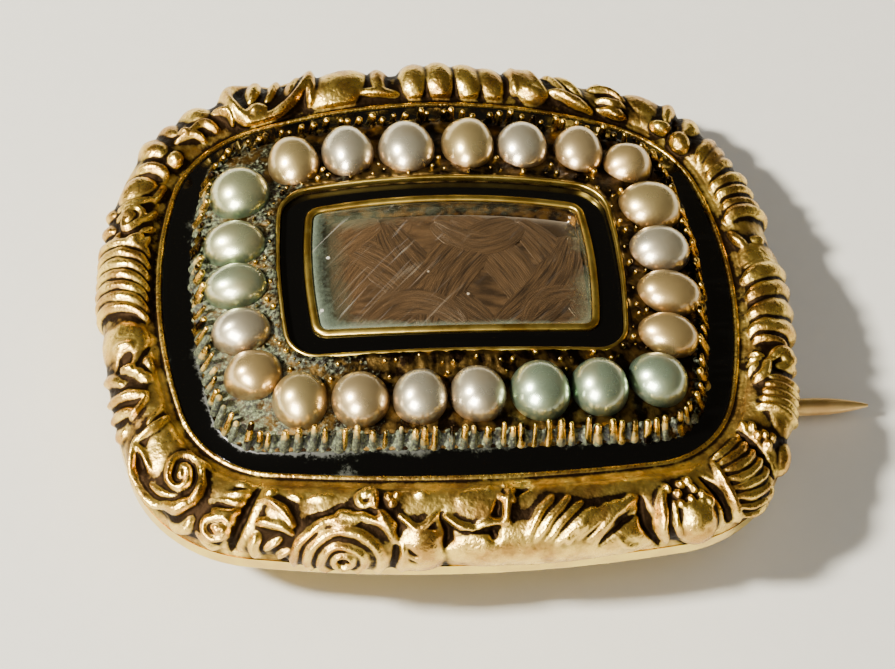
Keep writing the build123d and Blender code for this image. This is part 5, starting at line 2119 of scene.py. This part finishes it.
@dataclass
class Studio:
    """A pale floor, soft lights and a dark room."""

    lights: Sequence[Light] = (
        Light("lamp", -86.0, 44.0, 260.0, 26.0, 2.45, "#fffaf0", spread=True, mirrored=True),
        Light("window", -31.0, 31.0, 190.0, 84.0, 1.0, "#fffaf0", spread=False, mirrored=True),
        Light("ceiling", 50.0, 68.0, 320.0, 300.0, 0.42, "#fbfaff", spread=True, mirrored=False),
    )
    bright_side: tuple[float, float, float] = (-0.62, -0.75, 0.2)
    bright_wall: str = "#b3aa93"
    dark_wall: str = "#4c4638"
    floor_half: float = 0.6

    def floor(self, level: float) -> None:
        """Lay the floor.

        Args:
            level: its height in metres, at the lowest point of the brooch.
        """
        work = bmesh.new()
        bmesh.ops.create_grid(work, x_segments=8, y_segments=8, size=self.floor_half)
        bmesh.ops.translate(work, verts=work.verts, vec=(0, 0, level))
        piece = linked("floor", mesh_from("floor", work))
        piece.data.materials.append(FloorFinish().material())
        piece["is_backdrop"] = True

    def room(self) -> bpy.types.World:
        """Make the room's walls, as the metal mirrors them.

        Returns:
            A world that is bright on the viewer's left and dim behind the brooch.
        """
        world = bpy.data.worlds.new("room")
        world.use_nodes = True
        tree = world.node_tree
        tree.nodes.clear()
        look = add_node(tree, "ShaderNodeTexCoord").outputs["Generated"]
        facing = add_node(
            tree, "ShaderNodeVectorMath", {0: look, 1: self.bright_side}, operation="DOT_PRODUCT"
        ).outputs["Value"]
        limits = {"From Min": 0.15, "From Max": 0.95}
        share = add_node(tree, RANGE, {"Value": facing, **limits}, interpolation_type="SMOOTHSTEP")
        tones = {"Factor": share, "A": linear(self.dark_wall), "B": linear(self.bright_wall)}
        tone = add_node(tree, MIX, tones, data_type="RGBA")
        sky = add_node(tree, "ShaderNodeBackground", {"Color": tone, "Strength": 1.0})
        add_node(tree, "ShaderNodeOutputWorld", {"Surface": sky})
        return world

    def build(self, level: float) -> None:
        """Set up the floor, the lights and the room.

        Args:
            level: height of the floor, in metres.
        """
        self.floor(level)
        for light in self.lights:
            light.build()
        bpy.context.scene.world = self.room()


def dress(piece: bpy.types.Object, material: bpy.types.Material) -> None:
    """Give a piece one material."""
    piece.data.materials.clear()
    piece.data.materials.append(material)


def add_piece(piece: bpy.types.Object, material: bpy.types.Material, slot: str, *nodes: str) -> None:
    """Dress a new piece, let it ride on the case, and say which nodes it stands for.

    Args:
        piece: the new piece.
        material: its material.
        slot: not used.
        *nodes: the nodes that it stands for.
    """
    dress(piece, material)
    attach(piece, "case")
    if nodes:
        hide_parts(*nodes)
    log.info("%s: %d faces", piece.name, len(piece.data.polygons))


def main() -> None:
    """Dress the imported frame."""
    logging.basicConfig(level=logging.INFO, format="%(name)s %(message)s")
    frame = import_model()
    packed = [list(corner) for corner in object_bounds()]
    rest = Rest.from_frame(frame)
    sizes = CaseSizes()
    nodes = frame["nodes"]

    CameraView().build()
    Studio().build(packed[0][2])

    plain_gold = GoldFinish("polished_gold", worn="#e6c468").material()
    # Chased gold whose recesses are painted near-black: grime and painted shade.
    worn_gold_shaded_hollows = GoldFinish(
        "chased_gold",
        bright="#ffd96a",
        worn="#c89a4a",
        roughness=0.22,
        grime_and_shade_attribute="hollow",
        hammer_mm=0.24,
    ).material()
    dress(nodes["case_back"], plain_gold)
    pin_gold = GoldFinish("drawn_pin_gold", bright="#ffd98e", worn="#eabf7c", roughness=0.36).material()
    for name in ("pin_stem", "hinge_rivet"):
        dress(nodes[name], pin_gold)

    add_piece(ChasedBorder(sizes, rest).build(), worn_gold_shaded_hollows, "chased_gold", "chased_border")

    face = Face(sizes, rest)
    enamel = EnamelFinish("black_enamel").material()
    gap = sizes.seat_gap
    outer = face.enamel("outer_black_band", sizes.collar.grown(gap), sizes.panel.grown(-gap), 1.0)
    inner = face.enamel("inner_black_band", sizes.bezel.grown(gap), sizes.wire_inside.grown(-gap), 0.1)
    add_piece(outer, enamel, "black_enamel", "outer_enamel")
    add_piece(inner, enamel, "black_enamel", "inner_enamel")
    crust = CrustFinish("crusted_gold").material()
    grimy = CrustFinish("grimy_gold", metal="#604a24", grime="#150d06", grimy=0.04, polish=0.45).material()
    # Near-black gold for the collar: grime, and painted shade that stands for the dark between the claws.
    collar_grime_and_shade = CrustFinish("grimy_shaded_gold", metal="#4a3512", grime="#090603", grimy=0.16, polish=0.4).material()
    rubbed_gold = GoldFinish("rubbed_gold", bright="#f0d068", worn="#b8943e", roughness=0.24).material()
    # The dark grimy finish of the plate is partly painted shade: it darkens the wall of the hair's well
    # under the glass.
    add_piece(face.plate(), grimy, "plain_gold", "setting_plate")
    add_piece(face.collar(), collar_grime_and_shade, "plain_gold")
    add_piece(face.claws(), crust, "plain_gold")
    add_piece(face.bed(), grimy, "plain_gold")
    wire = face.wire_ring("inner_wire", sizes.wire_inside, sizes.wire, sizes.wire_height)
    add_piece(wire, rubbed_gold, "plain_gold")
    bezel = face.wire_ring("glass_bezel", sizes.glass, sizes.bezel, sizes.bezel_height)
    add_piece(bezel, rubbed_gold, "plain_gold")
    add_piece(face.glass(), GlassFinish().material(), "clear_glass", "glass_cover")
    brown_hair = HairFinish("laid_brown_hair").material()
    add_piece(Hair(sizes, rest).build(), brown_hair, "plaited_hair", "hair_panel")

    row = PearlRow(rest, sizes, nodes)
    places = [place for place, _ in row.spheres]
    add_piece(face.grains(places), crust, "plain_gold")
    finishes = {tint: PearlFinish(tint).material() for tint in Tint}
    for number, node in enumerate(row.names()):
        add_piece(row.pearl(number), finishes[row.looks[number].tint], "half_pearl", node)


if __name__ == "__main__":
    main()
